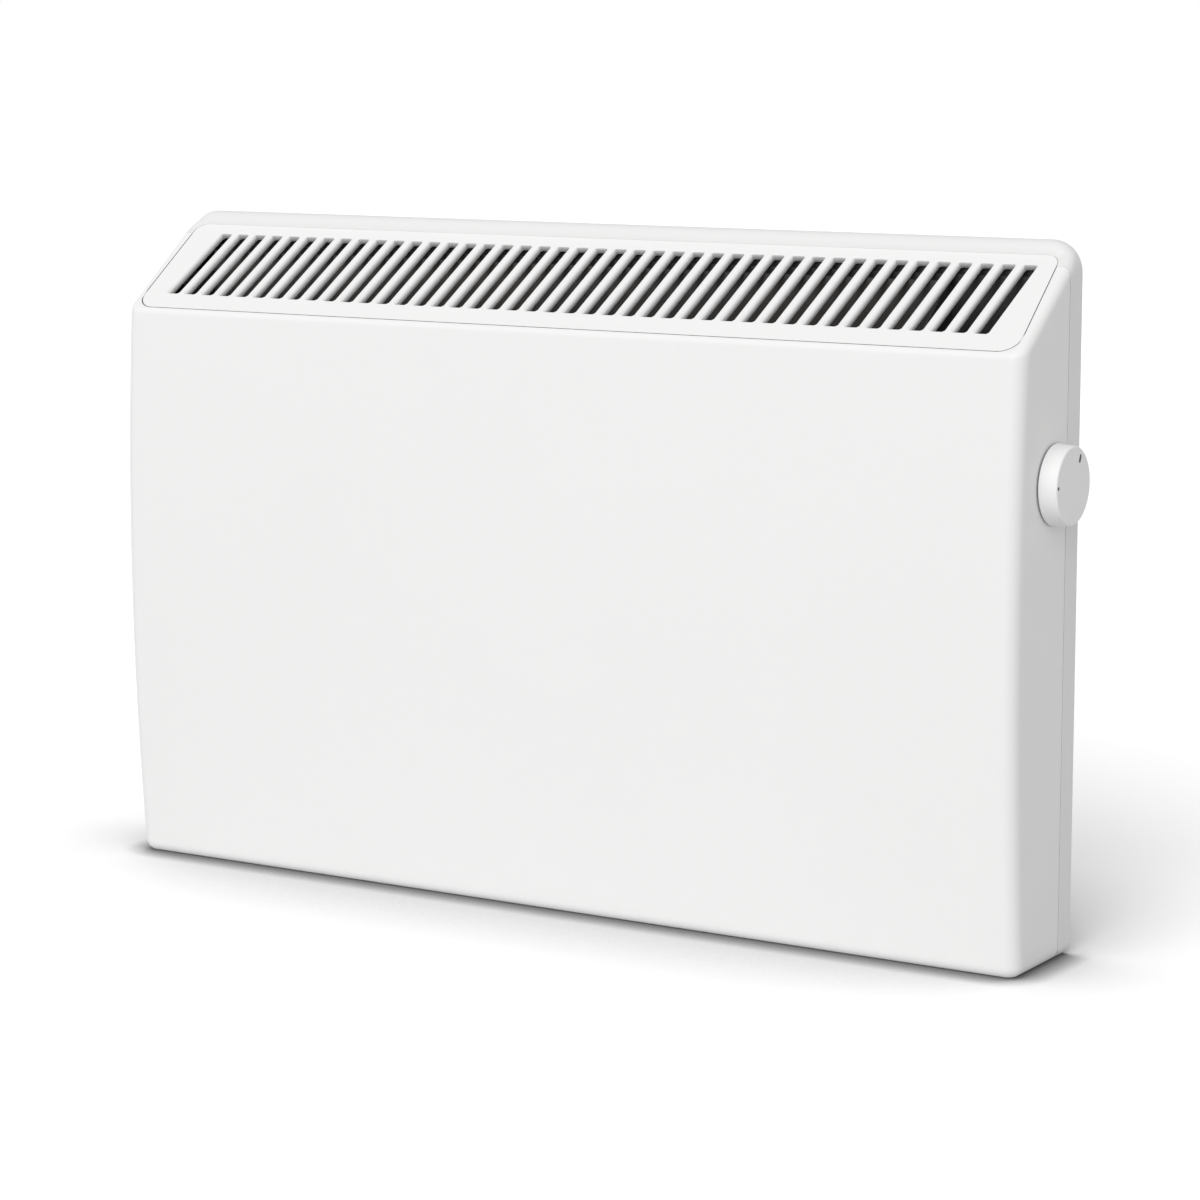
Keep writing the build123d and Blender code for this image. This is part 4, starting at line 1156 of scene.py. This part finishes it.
@dataclass(frozen=True)
class OutletGrille:
    """Moulded panel with 43 leaning slots between deep bars."""

    casing: Casing = Casing()
    outline: PanelOutline = PanelOutline(bottom=3.65, top=93.45)
    thickness: float = 2.5
    bar_depth: float = 4.9
    count: int = 43
    pitch: float = 15.06
    slot_width: float = 9.0
    slot_bottom: float = 18.7
    slot_top: float = 83.7
    shift: float = 1.9
    lean: float = 0.144
    slot_corner: float = 1.2
    bar_edge: float = 2.7
    far_edge: float = 1.5
    cell_shift: float = -0.7
    slot_edge: float = 0.8
    back_edge: float = 0.3
    rim_edge: float = 0.3
    rim_steps: int = 3
    rim_margin: float = 1.3
    back_inset: float = 0.2
    margin: float = 1.8
    end_wall: float = 0.8
    lip_margin: float = 1.15
    lip_steps: int = 6
    side_steps: int = 6
    cap_points: int = 4
    corner_steps: int = 8
    lug_places: tuple[float, ...] = (-300.0, -100.0, 100.0, 300.0)
    lug_half_width: float = 5.0
    lug_thickness: float = 1.2
    lug_inset: float = 8.4
    lug_top: float = 2.3
    lug_foot: float = 5.7
    hook_level: float = 3.9
    hook_reach: float = 1.5

    def slot_loop(self) -> tuple[Points, Points, Points, Points]:
        """One slot's outline, not yet leaning, round its own middle.

        The outline is a rectangle with round corners: every point is a base point
        and a direction out of the slot, so that the outline grown by o is
        base + o direction. Its cell is a rectangle as wide as the pitch, moved to the
        left to leave room for the wide lips.

        Returns:
            Base points, directions, the matching points of the cell's rectangle, and
            whether a point belongs to the long sides.
        """
        half, rise = self.slot_width / 2, (self.slot_top - self.slot_bottom) / 2
        cell, cap = self.pitch / 2, rise + self.margin
        radius = self.slot_corner
        flat_x, flat_up = half - radius, rise - radius
        ends = np.linspace(-flat_up, flat_up, self.side_steps + 1)
        across = np.linspace(flat_x, -flat_x, self.cap_points)
        angle = np.radians([22.5, 45.0, 67.5])
        turn = stacked(np.cos(angle), np.sin(angle))

        def quarters(side: Points, corner: Points, top: Points) -> Points:
            """The whole loop from its right side, upper right corner and top."""
            quarter = np.concatenate([side, corner, top, corner[::-1] * MIRROR])
            return np.concatenate([quarter, -quarter])

        corner = np.array([flat_x, flat_up]) + radius * turn
        base = quarters(stacked(half, ends), corner, stacked(across, rise))
        direction = quarters(stacked(1.0, 0.0 * ends), turn, stacked(0.0 * across, 1.0))
        cell_corner = np.array([
            (cell, (flat_up + cap) / 2), (cell, cap), ((flat_x + cell) / 2, cap),
        ])
        bound = quarters(stacked(cell, ends), cell_corner, stacked(across, cap))
        bound = bound + np.array([self.cell_shift, 0.0])
        number = np.arange(len(base)) % (len(base) // 2)
        return base, direction, bound, number <= self.side_steps

    def leaning(self, flat: Points) -> Points:
        """Put one slot's points at every slot's place: x moves by lean times the way up.

        Args:
            flat: Points (x, up) round a slot's middle, with any leading axes.

        Returns:
            Points (x, up) on the slope, with a first axis for the slots.
        """
        middle = (self.slot_bottom + self.slot_top) / 2
        number = np.arange(self.count) - (self.count - 1) / 2
        place_x = (number * self.pitch + self.shift).reshape(-1, *[1] * (flat.ndim - 1))
        x, up = flat[..., 0], flat[..., 1]
        return stacked(x + self.lean * up + place_x, up + middle)

    def slots(self, shell: Shell) -> Points:
        """Add every slot with its share of the panel, front and back.

        Each slot's rows go from its cell's edge over the rounded lip, down the slot's
        wall and back to the cell's edge underneath. Where no bar follows, the wall is
        thin, and beyond it the panel is back at its own thickness. A lip of radius r
        turns by an angle t with offset r (1 - sin t) and depth r (1 - cos t). It is
        widest along each bar's right side, less wide along its left side and narrow at
        the slots' ends.

        Args:
            shell: Where the points go.

        Returns:
            The cells' edge points (slots, loop, 2) on the slope.
        """
        base, direction, bound, long_side = self.slot_loop()
        loop = len(base)
        depth = np.full((self.count, loop), self.bar_depth)
        bar = np.tile(long_side, (self.count, 1))
        bar[0, loop // 2 : loop // 2 + self.side_steps + 1] = False
        bar[-1, : self.side_steps + 1] = False
        under = np.where(bar, self.bar_depth, self.thickness)
        side_edge = np.where(direction[:, 0] > 0, self.far_edge, self.bar_edge)
        radius = np.where(long_side, side_edge, self.slot_edge)
        turn = np.linspace(0.0, math.pi / 2, self.lip_steps + 1)
        offsets = [self.lip_margin, *(1 - np.sin(turn))]
        falls = [0.0, *(np.cos(turn) - 1)]
        flat = [bound, *(base + (share * radius)[:, None] * direction for share in offsets)]
        levels = [0.0 * depth, *(share * radius + 0.0 * depth for share in falls)]
        wall = base + self.end_wall * direction
        flat += [base, base + self.back_edge * direction, wall, wall, bound]
        levels += [self.back_edge - depth, -depth, -depth, -under, -under]
        grid = self.leaning(np.stack(flat))
        # Where a bar follows, the thin wall's two rows fall on the cell's edge.
        grid[:, -3:-1] = np.where(bar[:, None, :, None], grid[:, -1:], grid[:, -3:-1])
        points = self.casing.on_slope(grid[..., 0], grid[..., 1], np.stack(levels, 1))
        for cell in points:
            shell.add_grid(cell, closed=True)
        return grid[:, 0]

    def field_edge(self, cells: Points) -> tuple[Points, list[int]]:
        """The line round all cells, anticlockwise from the lower left.

        Args:
            cells: Edge points of each cell, (slots, loop, 2).

        Returns:
            The line's points, and how many points each of its four sides has.
        """
        half = cells.shape[1] // 2
        upright = np.arange(-2, self.side_steps + 3)
        level = np.arange(self.cap_points + 4) + self.side_steps + 2
        right, left = cells[-1, upright], cells[0, half + upright]
        top = cells[::-1, level].reshape(-1, 2)
        bottom = cells[:, half + level].reshape(-1, 2)
        lines = [bottom, right, top, left]
        return np.concatenate(lines), [len(line) for line in lines]

    def outer_edge(self, counts: list[int]) -> tuple[Points, Points, Faces]:
        """The panel's outline, matched to the line round all cells.

        The four straight parts have as many points as that line's sides. Each corner
        arc adds points that all face that line's one corner.

        Args:
            counts: Number of points of the bottom, right, top and left side.

        Returns:
            Points, directions out of the panel, and the number of each one's match.
        """
        outline, steps = self.outline, self.corner_steps
        low, high = outline.corner_centre(False), outline.corner_centre(True)
        tilt = math.degrees(math.atan(outline.slant))
        lower = arc(low, outline.bottom_corner, -90.0, tilt, steps)
        upper = arc(high, outline.top_corner, tilt, 90.0, steps)
        arcs = [lower, upper, upper[::-1] * MIRROR, lower[::-1] * MIRROR]
        centres = [low, high, high * MIRROR, low * MIRROR]
        points, ways, match = [], [], []
        first = 0
        for side, number in enumerate(counts):
            start, end = arcs[side - 1][-1], arcs[side][0]
            along = end - start
            straight = start + np.linspace(0.0, 1.0, number)[:, None] * along
            normal = unit(np.array([along[1], -along[0]]))
            bend = arcs[side][1:-1]
            points += [straight, bend]
            ways += [np.tile(normal, (number, 1)), unit(bend - centres[side])]
            match += [first + np.arange(number), np.full(len(bend), first + number - 1)]
            first += number
        return np.concatenate(points), np.concatenate(ways), np.concatenate(match)

    def frame_round(self, shell: Shell, cells: Points) -> None:
        """Add the panel's margin round the slots, its rounded rim and its back, the rim's wall
        and back black as painted shade.
        """
        edge, counts = self.field_edge(cells)
        outline, ways, match = self.outer_edge(counts)
        turn = np.linspace(0.0, math.pi / 2, self.rim_steps + 1)
        r, inset, thickness = self.rim_edge, self.back_inset, self.thickness
        rows, levels = [edge[match], outline - self.rim_margin * r * ways], [0.0, 0.0]
        rows += [outline - r * (1 - math.sin(t)) * ways for t in turn]
        levels += [-r * (1 - math.cos(t)) for t in turn]
        rows += [outline, outline - inset * ways, edge[match]]
        levels += [inset - thickness, -thickness, -thickness]
        grid = np.stack(rows)
        out = np.array(levels)[:, None]
        points = self.casing.on_slope(grid[..., 0], grid[..., 1], out)
        rim = len(turn) + 2
        shell.add_grid(points[:rim], closed=True)
        # The rim's wall and the back are black: painted shade in the gap round the panel and
        # under it.
        shell.add_grid(points[rim - 1 :], closed=True, finish=1)

    def lugs(self, shell: Shell) -> None:
        """Add the eight hooked lugs under the panel's long edges, black as painted shade."""
        top, foot, level = -self.lug_top, -self.lug_foot, -self.hook_level
        for edge, outward in ((self.outline.bottom, -1.0), (self.outline.top, 1.0)):
            face = edge - outward * self.lug_inset
            inner = face - outward * self.lug_thickness
            tip = face + outward * self.hook_reach
            section = np.array([
                (inner, top), (inner, foot), (face, foot),
                (tip, level), (face, level), (face, top),
            ])
            for x in self.lug_places:
                ends = x + self.lug_half_width * np.array([[-1.0], [1.0]])
                lug = self.casing.on_slope(ends, section[:, 0], section[:, 1])
                # The lugs are black: painted shade where they show through the slots.
                shell.add_tube(lug, finish=1)

    def build(self, finishes: Finishes) -> bpy.types.Object:
        """Make the grille and dress it."""
        shell = Shell()
        self.frame_round(shell, self.slots(shell))
        self.lugs(shell)
        mesh = shell.mesh("outlet_grille_panel")
        piece = place(mesh, "outlet_grille_panel", crease=50.0)
        finishes.dress(piece, WHITE_PLASTIC, BLACK_LINING_AND_PAINTED_SHADE)
        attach(piece, Body.HEATER.value)
        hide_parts("outlet_grille")
        return piece


# -------------------------------------------------------------------------- the knob


@dataclass(frozen=True)
class Knob:
    """Round thermostat knob with a printed dash and a printed dot on its face."""

    base_x: float = 350.5
    axis_y: float = -37.0
    axis_z: float = 310.0
    base_radius: float = 26.0
    face_radius: float = 25.0
    length: float = 12.95
    wall: float = 2.2
    edge: float = 1.2
    undercut: float = 1.9
    undercut_length: float = 0.6
    # Profile points whose faces are dark grey as painted shade: the bore, the cup's inside and
    # the undercut.
    painted_shade_points: int = 10
    foot_edge: float = 0.3
    foot_inset: float = 0.36
    foot_steps: int = 4
    crown_steps: int = 10
    skirt_rings: Pair = (0.9, 10.95)
    face_rings: Pair = (23.4, 8.0)
    bore: float = 3.05
    bore_depth: float = 9.8
    hub: float = 6.5
    sides: int = 96
    dash_low: Pair = (8.3, 14.9)
    dash_high: Pair = (9.5, 17.8)
    dash_width: float = 2.6
    dot: Pair = (-22.55, 0.7)
    dot_radius: float = 1.25
    ink: float = 0.04
    ink_sides: int = 32
    ink_rings: tuple[float, ...] = (0.0, 0.5, 0.85, 1.0, 1.0)
    ink_levels: tuple[float, ...] = (1.0, 1.0, 0.85, 0.3, -1.0)

    def profile(self) -> Points:
        """Half section of the cup, from the bore's end round the skirt to the face.

        Returns:
            Points (x, r) with x from the knob's base.
        """
        length, hub, edge = self.length, self.hub, self.edge
        face_radius, base_radius = self.face_radius, self.base_radius
        inner, floor = face_radius - self.wall, length - self.wall
        inside = np.array([
            (self.bore_depth, 0.0), (self.bore_depth, self.bore), (0.0, self.bore),
            (0.0, hub), (floor, hub), (floor, inner), (0.0, inner),
            (0.0, base_radius - self.undercut),
            (self.undercut_length, base_radius - self.undercut),
        ])
        steep = 90.0 - math.degrees(math.atan((base_radius - face_radius) / length))
        foot_centre = (self.undercut_length + self.foot_edge, base_radius - self.foot_inset)
        foot = arc(foot_centre, self.foot_edge, 180.0, steep, self.foot_steps)
        crown_centre = (length - edge, face_radius - edge)
        crown = arc(crown_centre, edge, steep, 0.0, self.crown_steps)
        (foot_x, foot_r), (crown_x, crown_r) = foot[-1], crown[0]
        skirt_x = np.array(self.skirt_rings)
        fall = (crown_r - foot_r) / (crown_x - foot_x)
        skirt = stacked(skirt_x, foot_r + (skirt_x - foot_x) * fall)
        face = stacked(length, np.array([*self.face_rings, 0.0]))
        return np.concatenate([inside, foot, skirt, crown, face])

    def placed(self, grid: Points) -> Points:
        """Move points from the knob's axis to its place on the heater's side."""
        return grid + np.array([self.base_x, self.axis_y, self.axis_z])

    def build_cup(self, finishes: Finishes) -> bpy.types.Object:
        """Make the knob itself, its inside and foot undercut dark grey as painted shade."""
        shell = Shell()
        grid = self.placed(revolved(self.profile(), self.sides))
        shell.add_grid(grid[: self.painted_shade_points], closed=True, finish=1)
        shell.add_grid(grid[self.painted_shade_points - 1 :], closed=True)
        piece = place(shell.mesh("knob_cup"), "knob_cup", crease=40.0)
        finishes.dress(
            piece,
            ("knob_plastic", MouldedPlastic(KNOB_WHITE, roughness=(0.38, 0.46))),
            ("knob_painted_shade", MouldedPlastic(KNOB_PAINTED_SHADE, roughness=(0.56, 0.64))),
        )
        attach(piece, Body.CONTROL.value)
        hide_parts("thermostat_knob")
        return piece

    def ink_pad(
        self, start: Points, end: Points, radius: float, name: str
    ) -> bpy.types.Mesh:
        """A thin pad of ink: a round-ended bar, or a dot where both ends are one.

        A point at angle t on ring s is the nearer end plus s radius (cos t, sin t),
        and the pad's height falls with the square of s at its rim.

        Args:
            start: First end (y, z) from the knob's axis.
            end: Other end.
            radius: Half of the bar's width.
            name: Name of the mesh.

        Returns:
            A closed mesh that stands a little out of the face.
        """
        along = end - start
        heading = math.atan2(along[1], along[0])
        angle = around(self.ink_sides) + heading
        ahead = (np.cos(angle - heading) > SMALLEST_COSINE)[:, None]
        share = np.array(self.ink_rings)[:, None, None]
        level = self.ink * np.array(self.ink_levels)[:, None]
        ring = share * radius * stacked(np.cos(angle), np.sin(angle))
        spot = np.where(ahead, end, start) + ring
        shell = Shell()
        grid = stacked(self.length + level, spot[..., 0], spot[..., 1])
        shell.add_tube(self.placed(grid))
        return shell.mesh(name)

    def build_marks(self, finishes: Finishes) -> list[bpy.types.Object]:
        """Make the dash, which points at the setting, and the dot on the knob's face."""
        ink = MouldedPlastic(INK, roughness=(0.46, 0.54), change=0.1)
        marks = (
            ("knob_dash", self.dash_low, self.dash_high, self.dash_width / 2),
            ("knob_dot", self.dot, self.dot, self.dot_radius),
        )
        pieces = []
        for name, start, end, radius in marks:
            mesh = self.ink_pad(np.array(start), np.array(end), radius, name)
            piece = place(mesh, name)
            finishes.dress(piece, ("mark_ink", ink))
            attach(piece, Body.CONTROL.value)
            pieces.append(piece)
        return pieces


@dataclass(frozen=True)
class CoverScrews:
    """Six pan-head screws that hold the cover to the back panel, with cross recesses."""

    places: tuple[Pair, ...] = (
        (-344.0, 110.0), (-344.0, 330.0), (344.0, 110.0),
        (344.0, 250.0), (-200.0, 6.0), (200.0, 6.0),
    )
    seat: float = -17.0
    head_radius: float = 3.75
    head: float = 2.15
    shank_radius: float = 1.85
    shank: float = 5.0
    recess_arm: float = 2.1
    recess_width: float = 0.42
    recess_depth: float = 1.1
    recess_flank: float = 0.2
    recess_end: float = 0.3
    head_rings: tuple[float, ...] = (
        0.0, 0.06, 0.12, 0.2, 0.3, 0.4, 0.5, 0.56, 0.64, 0.76, 0.88, 0.96, 1.0, 1.0,
    )
    dome_fall: float = 0.45
    rim_start: float = 0.97
    rim_height: float = 0.86
    thread_pitch: float = 0.9
    thread_depth: float = 0.28
    shank_rings: int = 34
    sides: int = 32

    def head_grid(self) -> Points:
        """Top of the head as a height over polar rings.

        At reach q, a share of the head's radius, the dome is head (1 - fall q^3), less
        at the rim, and the last ring lies on the seat. The cross recess lowers it by
        its depth wherever a point lies in one of two crossed arms, with sloping flanks.

        Returns:
            Rings by sides by (out, across, up).
        """
        reach = np.array(self.head_rings)[:, None]
        angle = around(self.sides)
        across = reach * self.head_radius * np.cos(angle)
        up = reach * self.head_radius * np.sin(angle)
        rim = np.where(reach > self.rim_start, self.rim_height, 1.0)
        dome = self.head * (1 - self.dome_fall * reach**3) * rim
        dome[-1] = 0.0
        near = np.minimum(np.abs(across), np.abs(up))
        far = np.maximum(np.abs(across), np.abs(up))
        flank = (self.recess_width - near) / self.recess_flank + 0.5
        end = (self.recess_arm - far) / self.recess_end + 0.5
        inside = np.clip(flank, 0.0, 1.0) * np.clip(end, 0.0, 1.0)
        return stacked(dome - inside * self.recess_depth, across, up)

    def shank_grid(self) -> Points:
        """Threaded shank: rings whose radius swings with depth and angle.

        The radius is shank radius - thread depth (1 - cos(2 pi s / pitch - t)) / 2 at
        way s and angle t, so the crest climbs as a screw thread.

        Returns:
            Rings by sides by (out, across, up).
        """
        way = np.linspace(0.0, self.shank, self.shank_rings)[:, None]
        angle = around(self.sides)
        swing = (1 - np.cos(2 * math.pi * way / self.thread_pitch - angle)) / 2
        radius = self.shank_radius - self.thread_depth * swing
        radius[-1] = 0.0
        return stacked(-way, radius * np.cos(angle), radius * np.sin(angle))

    def build(self, finishes: Finishes) -> bpy.types.Object:
        """Make all six screws as one piece."""
        shell = Shell()
        shape = np.concatenate([self.head_grid(), self.shank_grid()])
        for x, z in self.places:
            shell.add_grid(shape[..., [1, 0, 2]] + np.array([x, self.seat, z]), closed=True)
        piece = place(shell.mesh("cover_screw_set"), "cover_screw_set", crease=30.0)
        zinc = WorkedMetal(SCREW_ZINC, roughness=(0.23, 0.37), lines=(1.0, 0.2, 1.0))
        finishes.dress(piece, ("screw_zinc", zinc))
        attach(piece, Body.HEATER.value)
        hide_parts("cover_screws")
        return piece


# ------------------------------------------------------------------- pieces from the frame


@dataclass(frozen=True)
class CarriedPieces:
    """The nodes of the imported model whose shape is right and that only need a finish."""

    casing: Casing = Casing()
    lining_below_slope: float = 2.9

    def panel_paint(self) -> LinedPaintWithPaintedShade:
        """The back panel's paint: white outside, black where it closes the hot space, as lining
        and painted shade.
        """
        casing = self.casing
        climb = casing.rise / casing.run
        slope_at_wall = casing.shoulder_height + casing.shoulder_depth * climb
        slope_height = slope_at_wall - self.lining_below_slope / casing.uphill[1]
        return LinedPaintWithPaintedShade(PANEL_WHITE, slope_height=slope_height, slope_rise=climb)

    def groups(self) -> list[tuple[str, Finish, tuple[str, ...]]]:
        """Name of each finish, the finish, and the carried nodes that take it."""
        bright = WorkedMetal((0.68, 0.68, 0.67), roughness=(0.23, 0.37), lines=(1.0, 0.3, 1.0))
        spring = WorkedMetal((0.5, 0.5, 0.5), roughness=(0.26, 0.4), lines=(1.0, 0.15, 1.0))
        fins = WorkedMetal((0.74, 0.75, 0.76), roughness=(0.29, 0.43), lines=(0.02, 1.0, 1.0))
        sheath = WorkedMetal(
            (0.42, 0.4, 0.37), (0.3, 0.25, 0.27), roughness=(0.29, 0.43), lines=(0.08, 1.0, 1.0)
        )
        copper = WorkedMetal(
            (0.72, 0.38, 0.24), (0.5, 0.26, 0.17), roughness=(0.27, 0.41), lines=(1.0, 1.0, 0.1)
        )
        brass = WorkedMetal(
            (0.78, 0.6, 0.3), (0.62, 0.46, 0.22), roughness=(0.23, 0.37), lines=(1.0, 0.3, 1.0)
        )
        zinc = ZincSheet((0.6, 0.61, 0.62))
        lacquer = Lacquer((0.04, 0.04, 0.042), (0.065, 0.055, 0.048))
        black = MouldedPlastic((0.03, 0.03, 0.032), roughness=(0.46, 0.54), change=0.12)
        grey = MouldedPlastic((0.45, 0.45, 0.44), change=0.02)
        block = MouldedPlastic((0.74, 0.72, 0.65), change=0.02)
        ceramic = Ceramic((0.78, 0.73, 0.62))
        brown = Silicone((0.11, 0.045, 0.02))
        blue = Silicone((0.03, 0.1, 0.36))
        green = Silicone((0.03, 0.22, 0.05), (0.7, 0.6, 0.04))
        bright_nodes = (
            "thermostat_screws", "bracket_screws", "plate_screws", "shield_screws",
            "cutout_screws", "clamp_screws", "earth_stud", "element_terminals",
        )
        black_sheets = (
            "left_side_plate", "right_side_plate", "heat_shield_rear", "heat_shield_front",
        )
        black_nodes = ("thermostat_body", "thermal_cutout", "cable_gland", "cord_clamp")
        return [
            ("panel_powder_coat", self.panel_paint(), ("back_panel",)),
            (*WHITE_PLASTIC, ("inlet_grille",)),
            ("zinc_sheet", zinc, ("wall_bracket", "thermostat_bracket")),
            ("black_lacquer", lacquer, black_sheets),
            ("spring_steel", spring, ("knob_spring_clip", "sensor_clips")),
            ("bright_steel", bright, bright_nodes),
            ("rod_sheath", sheath, ("element_tube",)),
            ("extruded_aluminium", fins, ("element_fins",)),
            ("drawn_copper", copper, ("capillary_tube", "sensor_bulb")),
            ("turned_brass", brass, ("terminal_screws", "earth_tag", "earth_nut")),
            ("black_plastic", black, black_nodes),
            ("grey_plastic", grey, ("thermostat_spindle",)),
            ("block_plastic", block, ("terminal_block",)),
            ("element_ceramic", ceramic, ("element_insulators",)),
            ("brown_silicone", brown, ("live_lead", "switched_lead", "element_lead")),
            ("blue_silicone", blue, ("neutral_lead",)),
            ("earth_silicone", green, ("earth_lead",)),
        ]

    def dress(self, nodes: dict[str, bpy.types.Object], finishes: Finishes) -> int:
        """Dress every carried node.

        Args:
            nodes: The frame's nodes by name.
            finishes: Where the materials come from.

        Returns:
            The number of nodes dressed.
        """
        count = 0
        for label, finish, names in self.groups():
            for name in names:
                finishes.dress(nodes[name], (label, finish))
            count += len(names)
        return count


# ------------------------------------------------------------------------------ studio


@dataclass(frozen=True)
class Studio:
    """Pale floor, soft light and the camera at the photograph's angle."""

    azimuth: float = 31.83
    elevation: float = 9.28
    roll: float = -0.11
    lens: float = 108.762
    sensor: float = 36.0
    clip: Pair = (0.05, 60.0)
    aim: Triple = (0.0, -40.0, 220.0)
    offset: Triple = (-15.49, -12.0, 2456.6)
    sky: float = 0.455
    sky_tilt: Triple = (0.07, -0.27, 0.1)
    key_from: Triple = (0.07, -0.95, 0.68)
    key_strength: float = 0.46
    key_angle: float = 50.0
    floor_reach: float = 9000.0
    floor_colour: float = 0.68
    floor_shown: float = 1.45
    darkest: float = 0.4
    shade: tuple[Pair, ...] = ((20.0, 1.6), (260.0, 1.0))
    shade_samples: int = 8

    def camera(self) -> None:
        """Put the camera where the photograph was taken from.

        Its axes come from azimuth, elevation and roll; the offset is the aim point as
        the camera sees it, to the right, down and away.
        """
        turn, tip, roll = np.radians([self.azimuth, self.elevation, self.roll])
        level = math.cos(tip)
        back = np.array([math.sin(turn) * level, -math.cos(turn) * level, math.sin(tip)])
        flat = unit(np.cross(-back, UP))
        steep = np.cross(flat, -back)
        right = flat * math.cos(roll) + steep * math.sin(roll)
        up = steep * math.cos(roll) - flat * math.sin(roll)
        axes = np.array([right, -up, -back])
        spot = to_frame(np.array(self.aim) - axes.T @ np.array(self.offset))
        lens = bpy.data.cameras.new("camera")
        lens.lens, lens.sensor_width = self.lens, self.sensor
        lens.clip_start, lens.clip_end = self.clip
        camera = bpy.data.objects.new("camera", lens)
        bpy.context.scene.collection.objects.link(camera)
        pose = Matrix(np.array([right, up, back]).T.tolist()).to_4x4()
        pose.translation = Vector(spot)
        camera.matrix_world = pose
        bpy.context.scene.camera = camera

    def key(self) -> None:
        """Add the soft key light from in front, above and a little right."""
        lamp = bpy.data.lights.new("key", "SUN")
        lamp.energy = math.pi * self.key_strength
        lamp.angle = math.radians(self.key_angle)
        light = bpy.data.objects.new("key", lamp)
        bpy.context.scene.collection.objects.link(light)
        light.rotation_mode = "QUATERNION"
        light.rotation_quaternion = Vector(self.key_from).to_track_quat("Z", "Y")

    def shown_mask(self, wiring: Wiring) -> Socket:
        """1 for rays from the camera, mirrors and glass, and 0 for lighting rays."""
        rays = wiring.node("LightPath", {}).outputs
        seen = wiring.combine("MAXIMUM", rays["Is Camera Ray"], rays["Is Glossy Ray"])
        return wiring.combine("MAXIMUM", seen, rays["Is Transmission Ray"])

    def sky_light(self) -> None:
        """White surroundings to look at, and a soft grey sky as light.

        Towards a unit direction d the sky's strength is its mean plus the dot product
        of d and the tilt, so it is brighter in front, above and a little right.
        """
        world = bpy.data.worlds.new("surroundings")
        world.use_nodes = True
        bpy.context.scene.world = world
        wiring = Wiring(world.node_tree)
        background = world.node_tree.nodes["Background"]
        background.inputs["Color"].default_value = PURE_WHITE
        direction = wiring.node("TexCoord", {}).outputs["Generated"]
        inputs = {0: direction, 1: self.sky_tilt}
        tilt = wiring.node("VectorMath", inputs, operation="DOT_PRODUCT").outputs["Value"]
        light = wiring.combine("ADD", tilt, self.sky)
        mask = self.shown_mask(wiring)
        strength = wiring.node("MapRange", {"Value": mask, "To Min": light, "To Max": 1.0})
        world.node_tree.links.new(strength.outputs["Result"], background.inputs["Strength"])

    def contact_shade(self, wiring: Wiring) -> Socket:
        """Brightness of the floor that the camera sees.

        It is the open floor's brightness times, for each reach, the openness within it
        raised to its power and kept from falling below the darkest.
        """
        product: object = self.floor_shown
        for reach, power in self.shade:
            inputs = {"Distance": reach * METRE}
            ring = wiring.node("AmbientOcclusion", inputs, samples=self.shade_samples)
            openness = wiring.combine("POWER", ring.outputs["AO"], power)
            limited = wiring.combine("MAXIMUM", openness, self.darkest)
            product = wiring.combine("MULTIPLY", limited, product)
        return product

    def floor(self) -> None:
        """Pale matt floor: lighter to the camera than to the heater, shadows kept."""
        corners = np.array([(-1, -1, 0), (1, -1, 0), (1, 1, 0), (-1, 1, 0)])
        shell = Shell()
        shell.add(self.floor_reach * corners, [[0, 1, 2, 3]])
        piece = place(shell.mesh("floor", outward=False), "floor")
        material = bpy.data.materials.new("floor")
        material.use_nodes = True
        tree = material.node_tree
        tree.nodes.remove(tree.nodes["Principled BSDF"])
        wiring = Wiring(tree)
        grey = (*[self.floor_colour] * 3, 1.0)
        shown = self.contact_shade(wiring)
        colour = wiring.mix(self.shown_mask(wiring), grey, shown)
        paper = wiring.node("BsdfDiffuse", {"Color": colour}).outputs["BSDF"]
        tree.links.new(paper, tree.nodes["Material Output"].inputs["Surface"])
        piece.data.materials.append(material)

    def build(self) -> None:
        """Set up camera, light and floor."""
        self.camera()
        self.key()
        self.sky_light()
        self.floor()
        bpy.context.scene.view_settings.view_transform = "Standard"


def report(piece: bpy.types.Object) -> None:
    """Log a piece with its number of faces."""
    LOG.info("%s: %d faces", piece.name, len(piece.data.polygons))


def write_sizes() -> None:
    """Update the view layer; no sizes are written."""
    bpy.context.view_layer.update()


def main() -> None:
    """Build the heater and the studio round it."""
    logging.basicConfig(level=logging.INFO, format="%(name)s %(message)s")
    finishes = Finishes()
    Studio().build()
    knob = Knob()
    report(FrontCover().build(finishes))
    report(OutletGrille().build(finishes))
    report(knob.build_cup(finishes))
    for piece in knob.build_marks(finishes):
        report(piece)
    report(CoverScrews().build(finishes))
    LOG.info("%d carried nodes dressed", CarriedPieces().dress(frame["nodes"], finishes))
    write_sizes()


if __name__ == "__main__":
    main()
